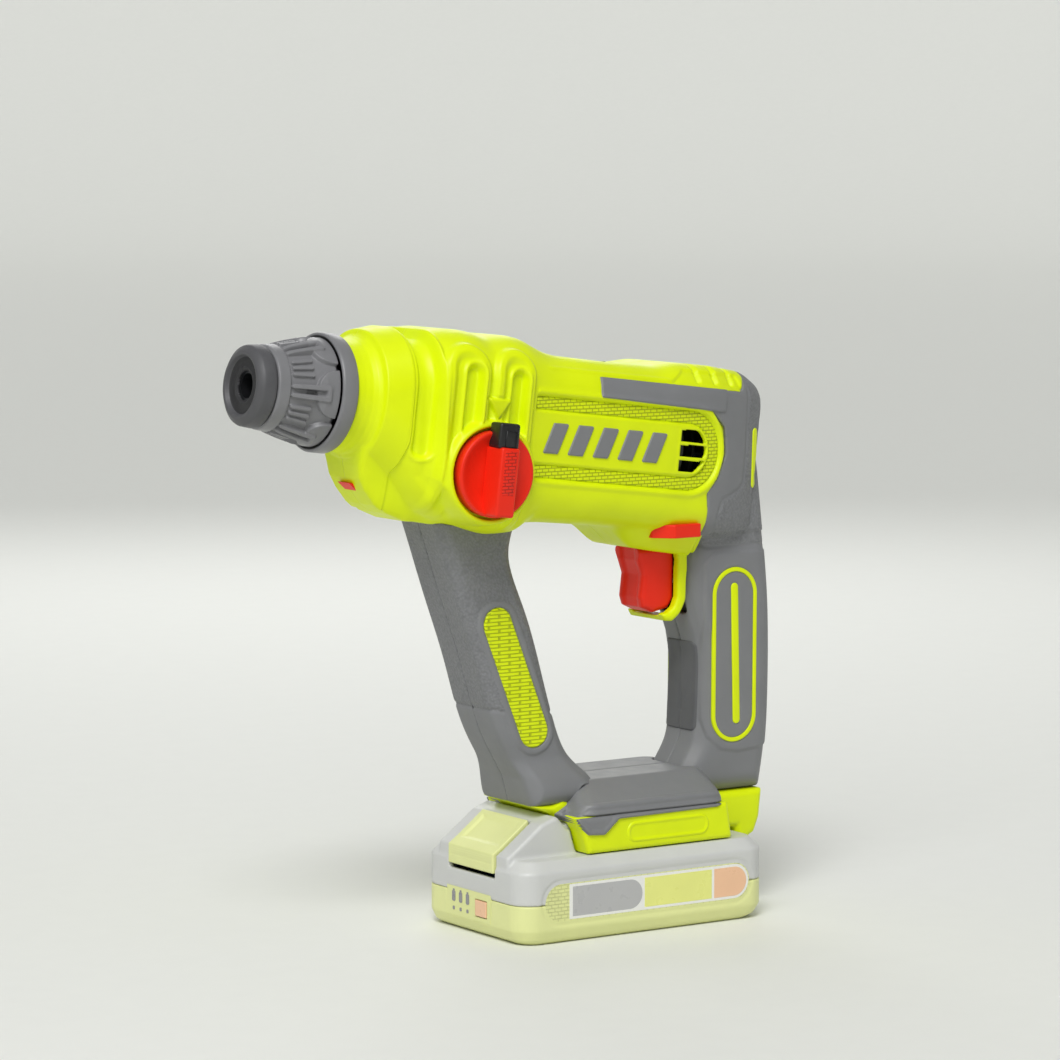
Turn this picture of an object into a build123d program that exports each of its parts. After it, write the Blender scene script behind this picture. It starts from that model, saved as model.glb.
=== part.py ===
from build123d import *
from math import cos, sin, radians, pi
import os

os.makedirs("parts", exist_ok=True)

# driving dimensions, millimetres
TILT = 7.0            # nose-up angle of the hammer axis above the battery base
AXIS_Z = 208.8        # height of the hammer axis above the floor at x = 0
WALL = 2.6            # moulded wall thickness
SEAT_R = 20.6         # seat of the front bearing in the nose of the housing
NECK_R = 22.4         # outside of the nose behind the chuck
LAYER = 1.2           # depth of the soft and badge inlays
SHANK_R = 5.05        # radius of the 10 mm slotted shank hole
SPINDLE_R = 12.0      # outside of the hammer spindle
CYL_R = 9.5           # bore of the hammer cylinder
COLLAR_R = 23.9       # outside of the rear chuck ring
LAY_W = -24.0         # height of the layshaft below the hammer axis
MOTOR_W = -10.0       # height of the motor axis below the hammer axis
BATT_L = 123.7        # battery length
BATT_W = 75.0         # battery width
BATT_SPLIT = 16.5     # height of the joint between the battery halves
FOOT_Z = 34.6         # underside of the foot
RAIL_END = 43.2       # rear end of the channel for the battery's rail
KNOB_U = -72.1        # centre of the mode selector, along the hammer axis
KNOB_W = -25.1        # and above it
KNOB_R = 17.5
KNOB_FACE = 36.0      # left-hand face that the selector turns on
BIG_TEETH = 36        # on the spindle
SMALL_TEETH = 12      # on the layshaft, meshing with the spindle gear
LAY_TEETH = 26        # on the layshaft, meshing with the motor pinion
PINION_TEETH = 9      # on the motor shaft
MOD_SLOW = 1.0        # tooth module of the spindle pair
MOD_FAST = 0.8        # tooth module of the motor pair
CONTACTS = (-15.0, -5.0, 5.0, 15.0)   # across the tool, places of the battery's four contacts
CELL_R = 9.1          # cell radius with its wrap
CELL_Z = 12.8         # height of the cells' axes
CELL_PITCH = 18.6

HAMMER = Pos(0, 0, AXIS_Z) * Rot(0, TILT, 0)


def write(shape, name):
    export_step(shape, "parts/" + name + ".step")


def prism(points, y0, y1):
    """A flat outline of (x, z) corners, carried from y0 to y1."""
    wire = Polyline([(x, 0, z) for x, z in points], close=True)
    solid = extrude(make_face(wire), amount=y1 - y0, dir=(0, 1, 0))
    return Pos(0, y0, 0) * solid


def slab(x0, x1, y0, y1, z0, z1):
    return Pos((x0 + x1) / 2, (y0 + y1) / 2, (z0 + z1) / 2) * Box(x1 - x0, y1 - y0, z1 - z0)


def turned(points):
    """A round piece about the X axis from its (x, radius) outline."""
    wire = Polyline([(x, 0, r) for x, r in points], close=True)
    return revolve(make_face(wire), axis=Axis.X)


def tube(x0, x1, outer, inner):
    return turned([(x0, inner), (x1, inner), (x1, outer), (x0, outer)])


def rod(x0, x1, radius):
    return turned([(x0, 0), (x1, 0), (x1, radius), (x0, radius)])


def along_y(x, z, radius, y0, y1):
    """A round bar across the tool."""
    return Pos(x, (y0 + y1) / 2, z) * Rot(90, 0, 0) * Cylinder(radius, y1 - y0)


def capsule(x0, z0, x1, z1, radius, y0, y1):
    """A flat bar with round ends across the tool."""
    dx, dz = x1 - x0, z1 - z0
    length = (dx * dx + dz * dz) ** 0.5
    nx, nz = -dz / length * radius, dx / length * radius
    middle = prism([(x0 + nx, z0 + nz), (x1 + nx, z1 + nz), (x1 - nx, z1 - nz), (x0 - nx, z0 - nz)],
                   y0, y1)
    return middle + along_y(x0, z0, radius, y0, y1) + along_y(x1, z1, radius, y0, y1)


def softened(solid, radius, axis=Axis.Y):
    """Round the long edges of a side outline, with smaller radii tried where one is too large."""
    faces = solid.faces().sort_by(axis)
    edges = faces[0].edges() + faces[-1].edges()
    for size in (radius, radius * 0.8, radius * 0.6, radius * 0.4):
        try:
            rounded = fillet(edges, size)
            if rounded.is_valid:
                return rounded
        except Exception:
            continue
    raise ValueError("the long edges could not be rounded")


def halves(solid):
    """The left half (towards -Y) and the right half."""
    left = solid & slab(-300, 300, -100, 0, -50, 400)
    right = solid & slab(-300, 300, 0, 100, -50, 400)
    return left, right


def group(solids):
    return Compound(children=list(solids))


def gear(teeth, module, width, bore, shift=0.0):
    """A spur gear about X with straight-sided teeth, a little thinner than the spaces."""
    pitch = teeth * module / 2
    root = pitch - 1.2 * module
    tip = pitch + 0.9 * module
    step = 2 * pi / teeth
    flank = [(root - 0.1, 0.29), (pitch, 0.22), (tip, 0.11)]
    outline = []
    for n in range(teeth):
        middle = n * step + shift
        outline += [(r, middle - step * share) for r, share in flank]
        outline += [(r, middle + step * share) for r, share in reversed(flank)]
    points = [(0, r * sin(a), r * cos(a)) for r, a in outline]
    blank = extrude(make_face(Polyline(points, close=True)), amount=width, dir=(1, 0, 0))
    return blank - rod(-1, width + 1, bore)


# ---- the outside shape of the hammer body, in the tilted frame ----

# along the axis, half width, top, bottom, corner radius
BODY = [
    (-118.5, 25.6, 25.6, -25.6, 25.2),
    (-110.0, 27.6, 27.6, -31.0, 24.0),
    (-98.0, 31.0, 28.2, -42.0, 20.0),
    (-84.0, 33.0, 30.4, -46.5, 18.0),
    (-68.0, 33.0, 30.0, -47.5, 18.0),
    (-50.0, 31.5, 28.4, -45.5, 17.0),
    (-36.0, 30.0, 24.4, -43.5, 15.0),
    (-10.0, 29.6, 24.2, -43.0, 14.0),
    (18.0, 29.0, 25.6, -43.5, 14.0),
    (42.0, 26.5, 26.8, -45.0, 13.0),
    (60.0, 22.0, 26.0, -46.0, 12.0),
    (71.0, 17.0, 22.0, -46.0, 11.0),
]


def body_form(inset):
    sections = []
    for u, half, top, bottom, corner in BODY:
        plane = Plane(origin=(u, 0, (top + bottom) / 2), x_dir=(0, 1, 0), z_dir=(1, 0, 0))
        width = 2 * (half - inset)
        height = top - bottom - 2 * inset
        radius = min(corner - inset * 0.7, width / 2 - 0.2, height / 2 - 0.2)
        sections.append(plane * RectangleRounded(width, height, radius))
    return loft(sections)


def keel_form(inset):
    low = prism([(-121, -20), (-119.5, -30), (-115.5, -36), (-110, -41.5), (-100, -46.5),
                 (-84, -48.0), (-84, -20)], -15 + inset, 15 - inset)
    low = softened(low, 5 - inset * 0.5)
    if inset:
        low = Pos(inset * 1.2, 0, inset * 0.7) * low
    return low


def outline_solid(back, front, half, radius):
    """An upright moulding from the curves of its back and its front."""
    rear = Spline([(x, 0, z) for x, z in back])
    fore = Spline([(x, 0, z) for x, z in front])
    top = Line(rear @ 0, fore @ 0)
    base = Line(rear @ 1, fore @ 1)
    face = make_face([rear, base, fore, top])
    solid = Pos(0, -half, 0) * extrude(face, amount=2 * half, dir=(0, 1, 0))
    return softened(solid, radius)


STRUT_FRONT = [(-91.5, 182.0), (-87.4, 171.0), (-76.8, 140.0), (-67.0, 112.0), (-57.3, 83.0),
               (-49.0, 68.0), (-43.8, 57.6)]
STRUT_BACK = [(-44.0, 182.0), (-49.5, 168.0), (-51.8, 157.0), (-50.0, 148.7), (-44.1, 134.0),
              (-34.3, 102.5), (-29.6, 87.0), (-25.0, 76.0), (-16.5, 66.0), (-6.0, 57.6)]
HANDLE_BACK = [(71.0, 214.0), (71.8, 205.0), (73.2, 196.8), (75.6, 179.7), (77.6, 162.5),
               (79.5, 145.3), (80.8, 128.0), (81.2, 110.9), (80.8, 85.0), (79.8, 70.0), (78.2, 59.0),
               (76.6, 50.4)]
HANDLE_FRONT = [(38.0, 214.0), (39.0, 190.0), (40.5, 176.0), (38.6, 160.0), (37.0, 150.0),
                (37.0, 134.0), (40.3, 122.0), (43.4, 112.0), (44.0, 100.0), (43.4, 84.0),
                (41.5, 72.0), (36.0, 62.6), (32.0, 50.4)]


def base_block(inset):
    """The grey bridge between the strut and the handle, wide over the battery and narrow on top."""
    low = Plane.XY.offset(50.0 + inset * 0.4) * Pos(6.5, 0) * RectangleRounded(
        74 - 2 * inset, 67 - 2 * inset, 8)
    step = Plane.XY.offset(55.0 - inset * 0.3) * Pos(7.5, 0) * RectangleRounded(
        70 - 2 * inset, 64 - 2 * inset, 7)
    top = Plane.XY.offset(62.8 - inset) * Pos(9, 0) * RectangleRounded(
        64 - 2 * inset, 38 - 2 * inset, 6)
    return loft([low, step], ruled=True) + loft([step, top], ruled=True)


def foot_form():
    plate = prism([(-26.4, FOOT_Z), (-29.6, 44.0), (-33.0, 50.0), (43.5, 50.0), (46.0, FOOT_Z)],
                  -34, 34)
    plate = softened(plate, 2.0)
    tail = prism([(43.0, 50.2), (76.6, 50.2), (75.2, 38.0), (72.6, 31.5), (67.0, 28.6),
                  (62.7, 28.6), (62.7, FOOT_Z), (44.0, FOOT_Z)], -14, 14)
    tail = softened(tail, 3.5)
    lip = prism([(-30.5, 44.5), (-38.0, 52.0), (-44.3, 57.4), (-30.0, 57.4), (-22.0, 49.8)], -21, 21)
    lip = softened(lip, 3.0)
    return plate + tail + lip


def rail_space():
    """The T-shaped channel that the battery's rail runs in, open to the front."""
    neck = slab(-60, RAIL_END, -20.5, 20.5, FOOT_Z - 1, 39.1)
    head = slab(-60, RAIL_END, -23.5, 23.5, 39.0, 47.0)
    return neck + head


SWITCH_BOX = (44.5, 69.0, -10.5, 10.5, 126.0, 170.0)
TRIGGER_SPACE = (-10.0, 46.0, -9.4, 9.4, 126.6, 156.4)

# where the clamshell screws are: x, z, head depth (y of the bearing face)
SCREWS = [(-103.5, 189.0), (-28.0, 231.5), (-26.0, 172.5), (12.0, 228.8), (60.0, 183.0),
          (62.0, 112.0), (60.0, 74.0), (26.0, 56.5), (-37.0, 66.0), (-58.0, 118.0)]
SCREW_HEAD_Y = [16.0, 12.5, 14.0, 12.5, 8.0, 9.0, 9.0, 17.0, 9.0, 9.0]


def screw_bars(radius, y_low, head_radius, y_out):
    """One bar for each screw, with a wider one from its head outwards."""
    bars = []
    for (x, z), seat in zip(SCREWS, SCREW_HEAD_Y):
        bar = along_y(x, z, radius, y_low, seat)
        bars.append(bar + along_y(x, z, head_radius, seat, y_out))
    return bars


def bosses(form):
    """Screw posts inside a moulding, cut to its outside shape."""
    posts = []
    for (x, z), seat in zip(SCREWS, SCREW_HEAD_Y):
        post = along_y(x, z, 4.0, -seat - 2.0, 40.0) & form
        posts.append(post)
    return posts


def mechanism_space():
    """The room that the hammer mechanism, motor and knob shaft take inside the body."""
    front = rod(-135, -96, SEAT_R)
    lay = Pos(0, 0, LAY_W) * rod(-96, -34, 15.8)
    barrel = rod(-97, -34, 21.5)
    motor = Pos(0, 0, MOTOR_W) * (rod(-38, 35, 24.2) + rod(34, 55, 20.4))
    return HAMMER * (front + lay + barrel + motor)


def divide():
    """Everything behind the line where the soft grey rear of the handle begins."""
    return HAMMER * prism([(30, -200), (30, -86), (40, -82), (45.2, -72), (43.6, -53.9), (43.5, -43.8),
                           (42, -33), (40.5, -25), (46, -19), (49.5, -9), (47.5, 2), (38, 9),
                           (38, 17.4), (56, 17.6), (59, 24), (60, 40), (110, 40), (110, -200)],
                          -60, 60)


def vent_slots():
    slots = []
    for k in range(3):
        w0 = 1.7 - 7.1 * k
        slots.append(HAMMER * capsule(25, w0, 37, w0 + 0.6, 1.7, -60, 60))
    return slots


def biggest(shape):
    """The largest solid of a cut shape, leaving out crumbs."""
    solids = sorted(shape.solids(), key=lambda s: s.volume)
    return solids[-1]


def button_space():
    return slab(13.1, 34.4, -60, 60, 160.2, 166.6)


def lamp_space():
    return HAMMER * prism([(-121, -34.0), (-121, -38.8), (-110.5, -38.8), (-110.5, -34.0)], -5, 5)


def side_layer(depth):
    return (HAMMER * body_form(0)) - (HAMMER * body_form(depth))


def plan(length, width, corner, z, shift=0.0):
    return Plane.XY.offset(z) * Pos(shift, 0) * RectangleRounded(length, width, corner)


def battery_room(z):
    """Outline of the hollow inside the battery's walls."""
    return plan(BATT_L - 5.3, BATT_W - 5.8, 8, z)


def build_housing():
    form = HAMMER * (body_form(0) + keel_form(0) + rod(-129.4, -112, NECK_R))
    hollow = HAMMER * (body_form(WALL) & slab(-111, 66, -60, 60, -60, 60))
    guard_side = [(-2, 176), (2, 165), (6, 159.6), (11, 157.2), (31.5, 156.8), (32.5, 150),
                  (32.0, 134), (30.4, 130.2), (27.6, 128.2), (24.4, 127.4), (26.0, 124.6),
                  (29.6, 124.2), (34.0, 127.4), (36.6, 133.0), (38.7, 150.0), (40.3, 160.0),
                  (44.2, 176.0), (40.7, 190.0)]
    guard = softened(prism(guard_side, -13.5, 13.5), 1.6)
    ring = HAMMER * along_y(KNOB_U, KNOB_W, KNOB_R + 2.6, -KNOB_FACE, -24)
    shell = form + guard + ring - hollow
    for post in bosses(form):
        shell = shell + post
    cuts = [mechanism_space(), divide(), button_space(), slab(*TRIGGER_SPACE), lamp_space()]
    cuts.append(HAMMER * along_y(KNOB_U, KNOB_W, 6.3, -60, 0))
    cuts.append(HAMMER * along_y(KNOB_U, KNOB_W, KNOB_R + 0.5, -60, -KNOB_FACE + 3.0))
    for k in range(3):
        cuts.append(HAMMER * slab(30.0 + 9 * k, 33.4 + 9 * k, -13, 13, 20.5, 40))
    cuts += vent_slots() + side_inlays() + screw_bars(1.55, -12.0, 3.3, 60.0)
    for cut in cuts:
        shell = shell - cut
    left, right = halves(shell)
    write(biggest(left), "housing_left")
    write(biggest(right), "housing_right")


def body_solid():
    """The filled body with its nose and chin, for trimming what meets it."""
    return HAMMER * (body_form(0) + keel_form(0))


def build_strut():
    form = outline_solid(STRUT_FRONT, STRUT_BACK, 17, 6.0)
    form = form - body_solid() - base_block(0) - foot_form()
    hollow = prism([(-82, 166), (-72.8, 140), (-63.2, 112), (-53.0, 83), (-45, 67), (-35.5, 60),
                    (-30.0, 64), (-36.0, 84), (-47.8, 132), (-54.5, 149), (-56.0, 166)], -13.8, 13.8)
    shell = form - hollow
    for post in bosses(form):
        if post is not None and post.volume > 1:
            shell = shell + post
    for bar in screw_bars(1.55, -12.0, 3.3, 60.0):
        shell = shell - bar
    pads = strut_pads()
    for pad in pads:
        shell = shell - pad
    left, right = halves(shell)
    write(biggest(left), "strut_left")
    write(biggest(right), "strut_right")
    write(group(pads), "strut_pads")


def strut_pads():
    """Long textured grip pads let into both sides of the strut."""
    pads = []
    for low, high in ((-17, -15.8), (15.8, 17)):
        pads.append(capsule(-59.5, 129.5, -42.0, 84.5, 7.2, low, high))
    return pads


def handle_trims():
    """The long ring and the bar let into each side of the handle."""
    trims = []
    for low, high in ((-16, -15.0), (15.0, 16)):
        ring = capsule(59.6, 134.0, 59.3, 83.0, 11.6, low, high)
        ring = ring - capsule(59.6, 134.0, 59.3, 83.0, 9.6, low - 1, high + 1)
        bar = capsule(59.4, 137.0, 60.6, 81.0, 1.8, low, high)
        trims.append((ring, bar))
    return trims


def build_handle():
    outside = outline_solid(HANDLE_BACK, HANDLE_FRONT, 16, 8.5)
    body = HAMMER * body_form(0)
    form = (outside + body) & divide()
    form = form - foot_form()
    hollow = prism([(47, 40), (47.0, 84), (47.6, 100), (46.8, 114), (43.2, 126), (41.2, 136),
                    (41.2, 150), (43, 160), (46, 172), (50, 184), (50, 206), (66, 206), (69, 196),
                    (72, 176), (75.6, 145), (76.6, 120), (76.4, 84), (74, 62), (73, 40)], -12.4, 12.4)
    hollow = hollow & slab(-300, 300, -60, 60, 53, 400)
    shell = form - hollow - (HAMMER * (body_form(WALL) & slab(-111, 66, -60, 60, -60, 60)))
    for post in bosses(form):
        if post is not None and post.volume > 1:
            shell = shell + post
    cuts = [mechanism_space(), slab(*TRIGGER_SPACE), button_space()]
    cuts += vent_slots() + side_inlays() + screw_bars(1.55, -12.0, 3.3, 60.0)
    for k in range(3):
        cuts.append(HAMMER * slab(30.0 + 9 * k, 33.4 + 9 * k, -13, 13, 20.5, 40))
    for ring, bar in handle_trims():
        cuts += [ring, bar]
    for cut in cuts:
        shell = shell - cut
    left, right = halves(shell)
    write(biggest(left), "handle_left")
    write(biggest(right), "handle_right")
    trims = [piece for pair in handle_trims() for piece in pair]
    write(group(trims), "handle_inlays")


def build_base():
    form = base_block(0) - outline_solid(HANDLE_BACK, HANDLE_FRONT, 16, 8.5) - foot_form()
    hollow = slab(-24, 38, -27, 27, 50.6, 53.4) + slab(-18, 36, -14.5, 14.5, 50.6, 59.8)
    shell = form - hollow
    for post in bosses(form):
        if post is not None and post.volume > 1:
            shell = shell + post
    shell = shell - slab(-20.2, 22.2, -25.2, 25.2, 49, 54.4)
    for bar in screw_bars(1.55, -12.0, 3.3, 60.0):
        shell = shell - bar
    left, right = halves(shell)
    write(biggest(left), "base_left")
    write(biggest(right), "base_right")
    board = slab(-20, 22, -25, 25, 50.4, 52.0)
    chips = [slab(-16 + 9 * k, -10 + 9 * k, -20, -8, 52.0, 54.2) for k in range(4)]
    caps = [Pos(-12 + 12 * k, 6, 55.0) * Cylinder(4, 6.0) for k in range(3)]
    write(group([board] + chips + caps), "control_board")


def build_foot():
    form = foot_form() - rail_space()
    form = form - slab(-20, 22, -25.2, 25.2, 49.9, 51)
    left, right = halves(form)
    write(biggest(left), "foot_left")
    write(biggest(right), "foot_right")
    block = slab(37.8, RAIL_END, -19, 19, 39.6, 46.9)
    blades = [slab(25.2, 37.8, y - 0.4, y + 0.4, 40.6, 45.6) for y in CONTACTS]
    write(group([block] + blades), "terminal_block")


# ---- the chuck and the hammer mechanism, round about the tilted axis ----

def build_chuck():
    cap = turned([(-168.2, 5.9), (-168.2, 10.6), (-169.8, 11.5), (-170.4, 12.2), (-170.4, 13.1),
                  (-170.1, 13.7), (-168.9, 15.5), (-168.0, 16.0), (-163.2, 16.5), (-162.7, 16.1),
                  (-162.7, 9.52), (-166.9, 9.52), (-166.9, 5.9)])
    write(HAMMER * cap, "dust_cap")
    sleeve = turned([(-162.3, 9.56), (-162.3, 16.3), (-161.8, 16.9), (-157.4, 17.3), (-157.0, 16.9),
                     (-150.0, 19.4), (-140.0, 21.4), (-137.6, 21.8),
                     (-137.6, 18.4), (-139.6, 17.6), (-142.5, 17.2), (-142.5, 12.3), (-155.5, 12.3),
                     (-155.5, 9.56)])
    write(HAMMER * sleeve, "locking_sleeve")
    collar = turned([(-137.0, 22.4), (-137.0, 23.4), (-136.3, COLLAR_R), (-130.8, COLLAR_R),
                     (-130.0, 23.0), (-130.0, SPINDLE_R), (-131.8, SPINDLE_R), (-131.8, 22.4)])
    write(HAMMER * collar, "chuck_collar")
    coils = coil(14.6, 0.8, -141.4, -132.6, 4)
    write(HAMMER * coils, "sleeve_spring")
    balls = []
    for angle in (90, 270):
        ball = Rot(angle, 0, 0) * Pos(-147, 0, 8.55) * Sphere(3.15)
        balls.append(ball)
    write(HAMMER * group(balls), "locking_balls")
    holder = turned([(-166.9, SHANK_R), (-166.9, 9.5), (-136.0, 9.5), (-136.0, SPINDLE_R),
                     (-67.0, SPINDLE_R), (-67.0, CYL_R), (-114.0, CYL_R), (-114.0, 8.1),
                     (-126.9, 8.1), (-126.9, SHANK_R)])
    for angle in (90, 270):
        holder = holder - Rot(angle, 0, 0) * Pos(-147, 0, 8.6) * Cylinder(3.2, 6.8)
    write(HAMMER * holder, "hammer_spindle")


def coil(radius, wire, x0, x1, turns):
    """A coil spring about X."""
    pitch = (x1 - x0 - 2 * wire) / turns
    path = Helix(pitch=pitch, height=pitch * turns, radius=radius)
    start = Plane(origin=path @ 0, z_dir=path % 0)
    solid = sweep(start * Circle(wire), path=path)
    return Pos(x0 + wire, 0, 0) * Rot(0, 90, 0) * solid


def build_gearbox():
    bearing = tube(-128.8, -113.0, SEAT_R - 0.02, SPINDLE_R + 0.05)
    write(HAMMER * bearing, "front_bearing")
    plate = body_form(WALL + 0.3) & slab(-96.4, -92.4, -60, 60, -60, 60)
    plate = plate - rod(-100, -90, SPINDLE_R + 0.06) - Pos(0, 0, LAY_W) * rod(-100, -90, 6.0)
    for bar in screw_bars(4.3, -40, 4.3, 40):
        plate = plate - (HAMMER.inverse() * bar)
    write(HAMMER * plate, "gearbox_plate")
    wall = body_form(WALL + 0.3) & slab(-38.4, -34.6, -60, 60, -60, 60)
    wall = wall - Pos(0, 0, LAY_W) * rod(-40, -30, 6.0) - Pos(0, 0, MOTOR_W) * rod(-40, -30, 6.4)
    for bar in screw_bars(4.3, -40, 4.3, 40):
        wall = wall - (HAMMER.inverse() * bar)
    write(HAMMER * wall, "motor_bulkhead")
    lay = Pos(0, 0, LAY_W)
    motor = Pos(0, 0, MOTOR_W)
    sleeves = [lay * tube(-96.4, -92.4, 6.0, 3.56), lay * tube(-38.4, -34.6, 6.0, 3.56),
               motor * tube(-38.4, -34.6, 6.4, 2.56), motor * tube(28.6, 33.4, 7.0, 2.56)]
    write(HAMMER * group(sleeves), "shaft_bearings")
    small = Pos(-81, 0, 0) * gear(SMALL_TEETH, MOD_SLOW, 9, 3.4)
    write(HAMMER * (lay * (rod(-97.4, -34.4, 3.5) + small)), "layshaft")
    fast = Pos(-46, 0, 0) * gear(LAY_TEETH, MOD_FAST, 6, 3.5)
    write(HAMMER * (lay * fast), "layshaft_gear")
    drum = Pos(-58, 0, 0) * Sphere(8.0) & slab(-64, -52, -9, 9, -9, 9)
    write(HAMMER * (lay * (drum - rod(-70, -50, 3.5))), "wobble_drum")
    big = Pos(-80, 0, 0) * gear(BIG_TEETH, MOD_SLOW, 7, SPINDLE_R, shift=pi / BIG_TEETH)
    write(HAMMER * big, "spindle_gear")
    ring = tube(-61.5, -54.5, 13.6, 8.4)
    arm = Pos(-58, 0, 18.0) * Cylinder(2.4, 13.0)
    write(HAMMER * (lay * (ring + arm)), "wobble_ring")
    head = rod(-86, -69, CYL_R - 0.05)
    tail = slab(-69.5, -50.5, -6, 6, -5.2, 7.0) - Pos(-58, 0, 0) * Cylinder(3.4, 30)
    write(HAMMER * (head + tail), "piston")
    striker = turned([(-108, 0), (-108, 5.6), (-103, 7.0), (-102, CYL_R - 0.05), (-91.6, CYL_R - 0.05),
                      (-91.6, 0)])
    write(HAMMER * striker, "striker")
    bolt = turned([(-122.4, 0), (-122.4, 4.6), (-120.5, 8.04), (-116.0, 8.04), (-115.0, 6.0),
                   (-114.7, 5.0), (-114.7, 0)])
    write(HAMMER * bolt, "impact_bolt")


def build_motor():
    at = HAMMER * Pos(0, 0, MOTOR_W)
    can = tube(-33.8, 26.0, 23.6, 22.0) + tube(-33.8, -32.0, 23.6, 8.0)
    write(at * can, "motor_can")
    magnets = []
    for side in (0, 180):
        half = tube(-28, 18, 21.95, 18.6) & (Rot(side, 0, 0) * slab(-30, 30, -30, 30, 5.5, 30))
        magnets.append(half)
    write(at * group(magnets), "motor_magnets")
    core = rod(-24, 12, 18.0)
    for n in range(10):
        core = core - Rot(36 * n, 0, 0) * slab(-30, 20, -1.1, 1.1, 9.0, 20)
    write(at * (core - rod(-60, 60, 2.5)), "motor_core")
    ends = [tube(-30.5, -24.0, 14.5, 4.0), tube(12.0, 17.4, 14.5, 4.0)]
    write(at * group(ends), "motor_windings")
    pinion = Pos(-48, 0, 0) * gear(PINION_TEETH, MOD_FAST, 8.2, 2.4)
    write(at * (rod(-48.6, 46.4, 2.5) + pinion), "motor_shaft")
    write(at * (tube(19.0, 27.5, 7.0, 2.5)), "commutator")
    fan = tube(36.0, 37.4, 19.2, 2.5) + tube(36.0, 45.0, 5.0, 2.5)
    for n in range(12):
        fan = fan + Rot(30 * n, 0, 0) * slab(37.2, 44.6, -0.6, 0.6, 4.6, 19.0)
    write(at * fan, "motor_fan")
    bell = tube(26.0, 28.4, 23.6, 9.0) + tube(28.4, 34.0, 9.6, 7.0) + tube(27.8, 28.6, 9.6, 8.0)
    write(at * bell, "motor_end_bell")
    brushes = [Rot(side, 0, 0) * slab(20.6, 25.6, -3, 3, 7.1, 16.8) for side in (90, 270)]
    write(at * group(brushes), "carbon_brushes")


# ---- controls ----

def build_controls():
    at = HAMMER * Pos(KNOB_U, 0, KNOB_W)
    disc = along_y(0, 0, KNOB_R, -KNOB_FACE - 3.4, -KNOB_FACE + 2.7)
    grip = slab(-5.0, 5.0, -KNOB_FACE - 10.6, -KNOB_FACE - 3.4, -16.6, 11.0)
    grip = chamfer(grip.edges().filter_by(Axis.Z), 1.4)
    shaft = along_y(0, 0, 6.0, -KNOB_FACE + 2.6, -20)
    button_room = slab(-5.4, 5.4, -KNOB_FACE - 9.6, -KNOB_FACE - 0.6, 7.6, 30)
    write(at * (disc + grip + shaft - button_room), "selector_knob")
    button = slab(-5.0, 5.0, -KNOB_FACE - 9.2, -KNOB_FACE - 1.0, 10.4, 21.0)
    button = chamfer(button.edges().filter_by(Axis.X), 0.9)
    write(at * button, "selector_lock_button")
    side = [(11.0, 155.0), (15.2, 151.0), (17.8, 143.5), (16.6, 134.0), (17.8, 130.2), (23.0, 127.8),
            (30.6, 129.2), (33.4, 133.0), (33.6, 150.0), (33.0, 155.0)]
    trigger = softened(prism(side, -8.9, 8.9), 2.2) + Pos(39.5, 0, 143) * Rot(0, 90, 0) * Cylinder(2.5, 12.6)
    write(trigger, "trigger")
    spring = coil(3.9, 0.45, 33.8, 44.3, 6)
    write(Pos(0, 0, 143) * spring, "trigger_spring")
    x0, x1, y0, y1, z0, z1 = SWITCH_BOX
    switch = slab(x0, x1, y0, y1, z0, z1) - Pos(52, 0, 143) * Rot(0, 90, 0) * Cylinder(2.56, 15.2)
    write(switch, "switch_module")
    wedge = [(13.5, -20.5), (20.5, -27.5), (34.0, -27.5), (34.0, 27.5), (20.5, 27.5), (13.5, 20.5)]
    outline = Polyline([(x, y, 160.6) for x, y in wedge], close=True)
    slider = extrude(make_face(outline), amount=5.6, dir=(0, 0, 1))
    slider = fillet(slider.edges().filter_by(Axis.Z), 1.2)
    write(slider, "direction_button")
    lens = HAMMER * prism([(-119.0, -34.4), (-113.6, -38.4), (-111.0, -38.4), (-111.0, -34.4)], -4.6, 4.6)
    write(lens, "work_light_lens")
    screws = []
    for (x, z), seat in zip(SCREWS, SCREW_HEAD_Y):
        screw = along_y(x, z, 1.5, -11.0, seat) + along_y(x, z, 3.1, seat, seat + 2.2)
        screws.append(screw - along_y(x, z, 1.1, seat + 1.0, seat + 3))
    write(group(screws), "housing_screws")


# ---- the battery ----

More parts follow.
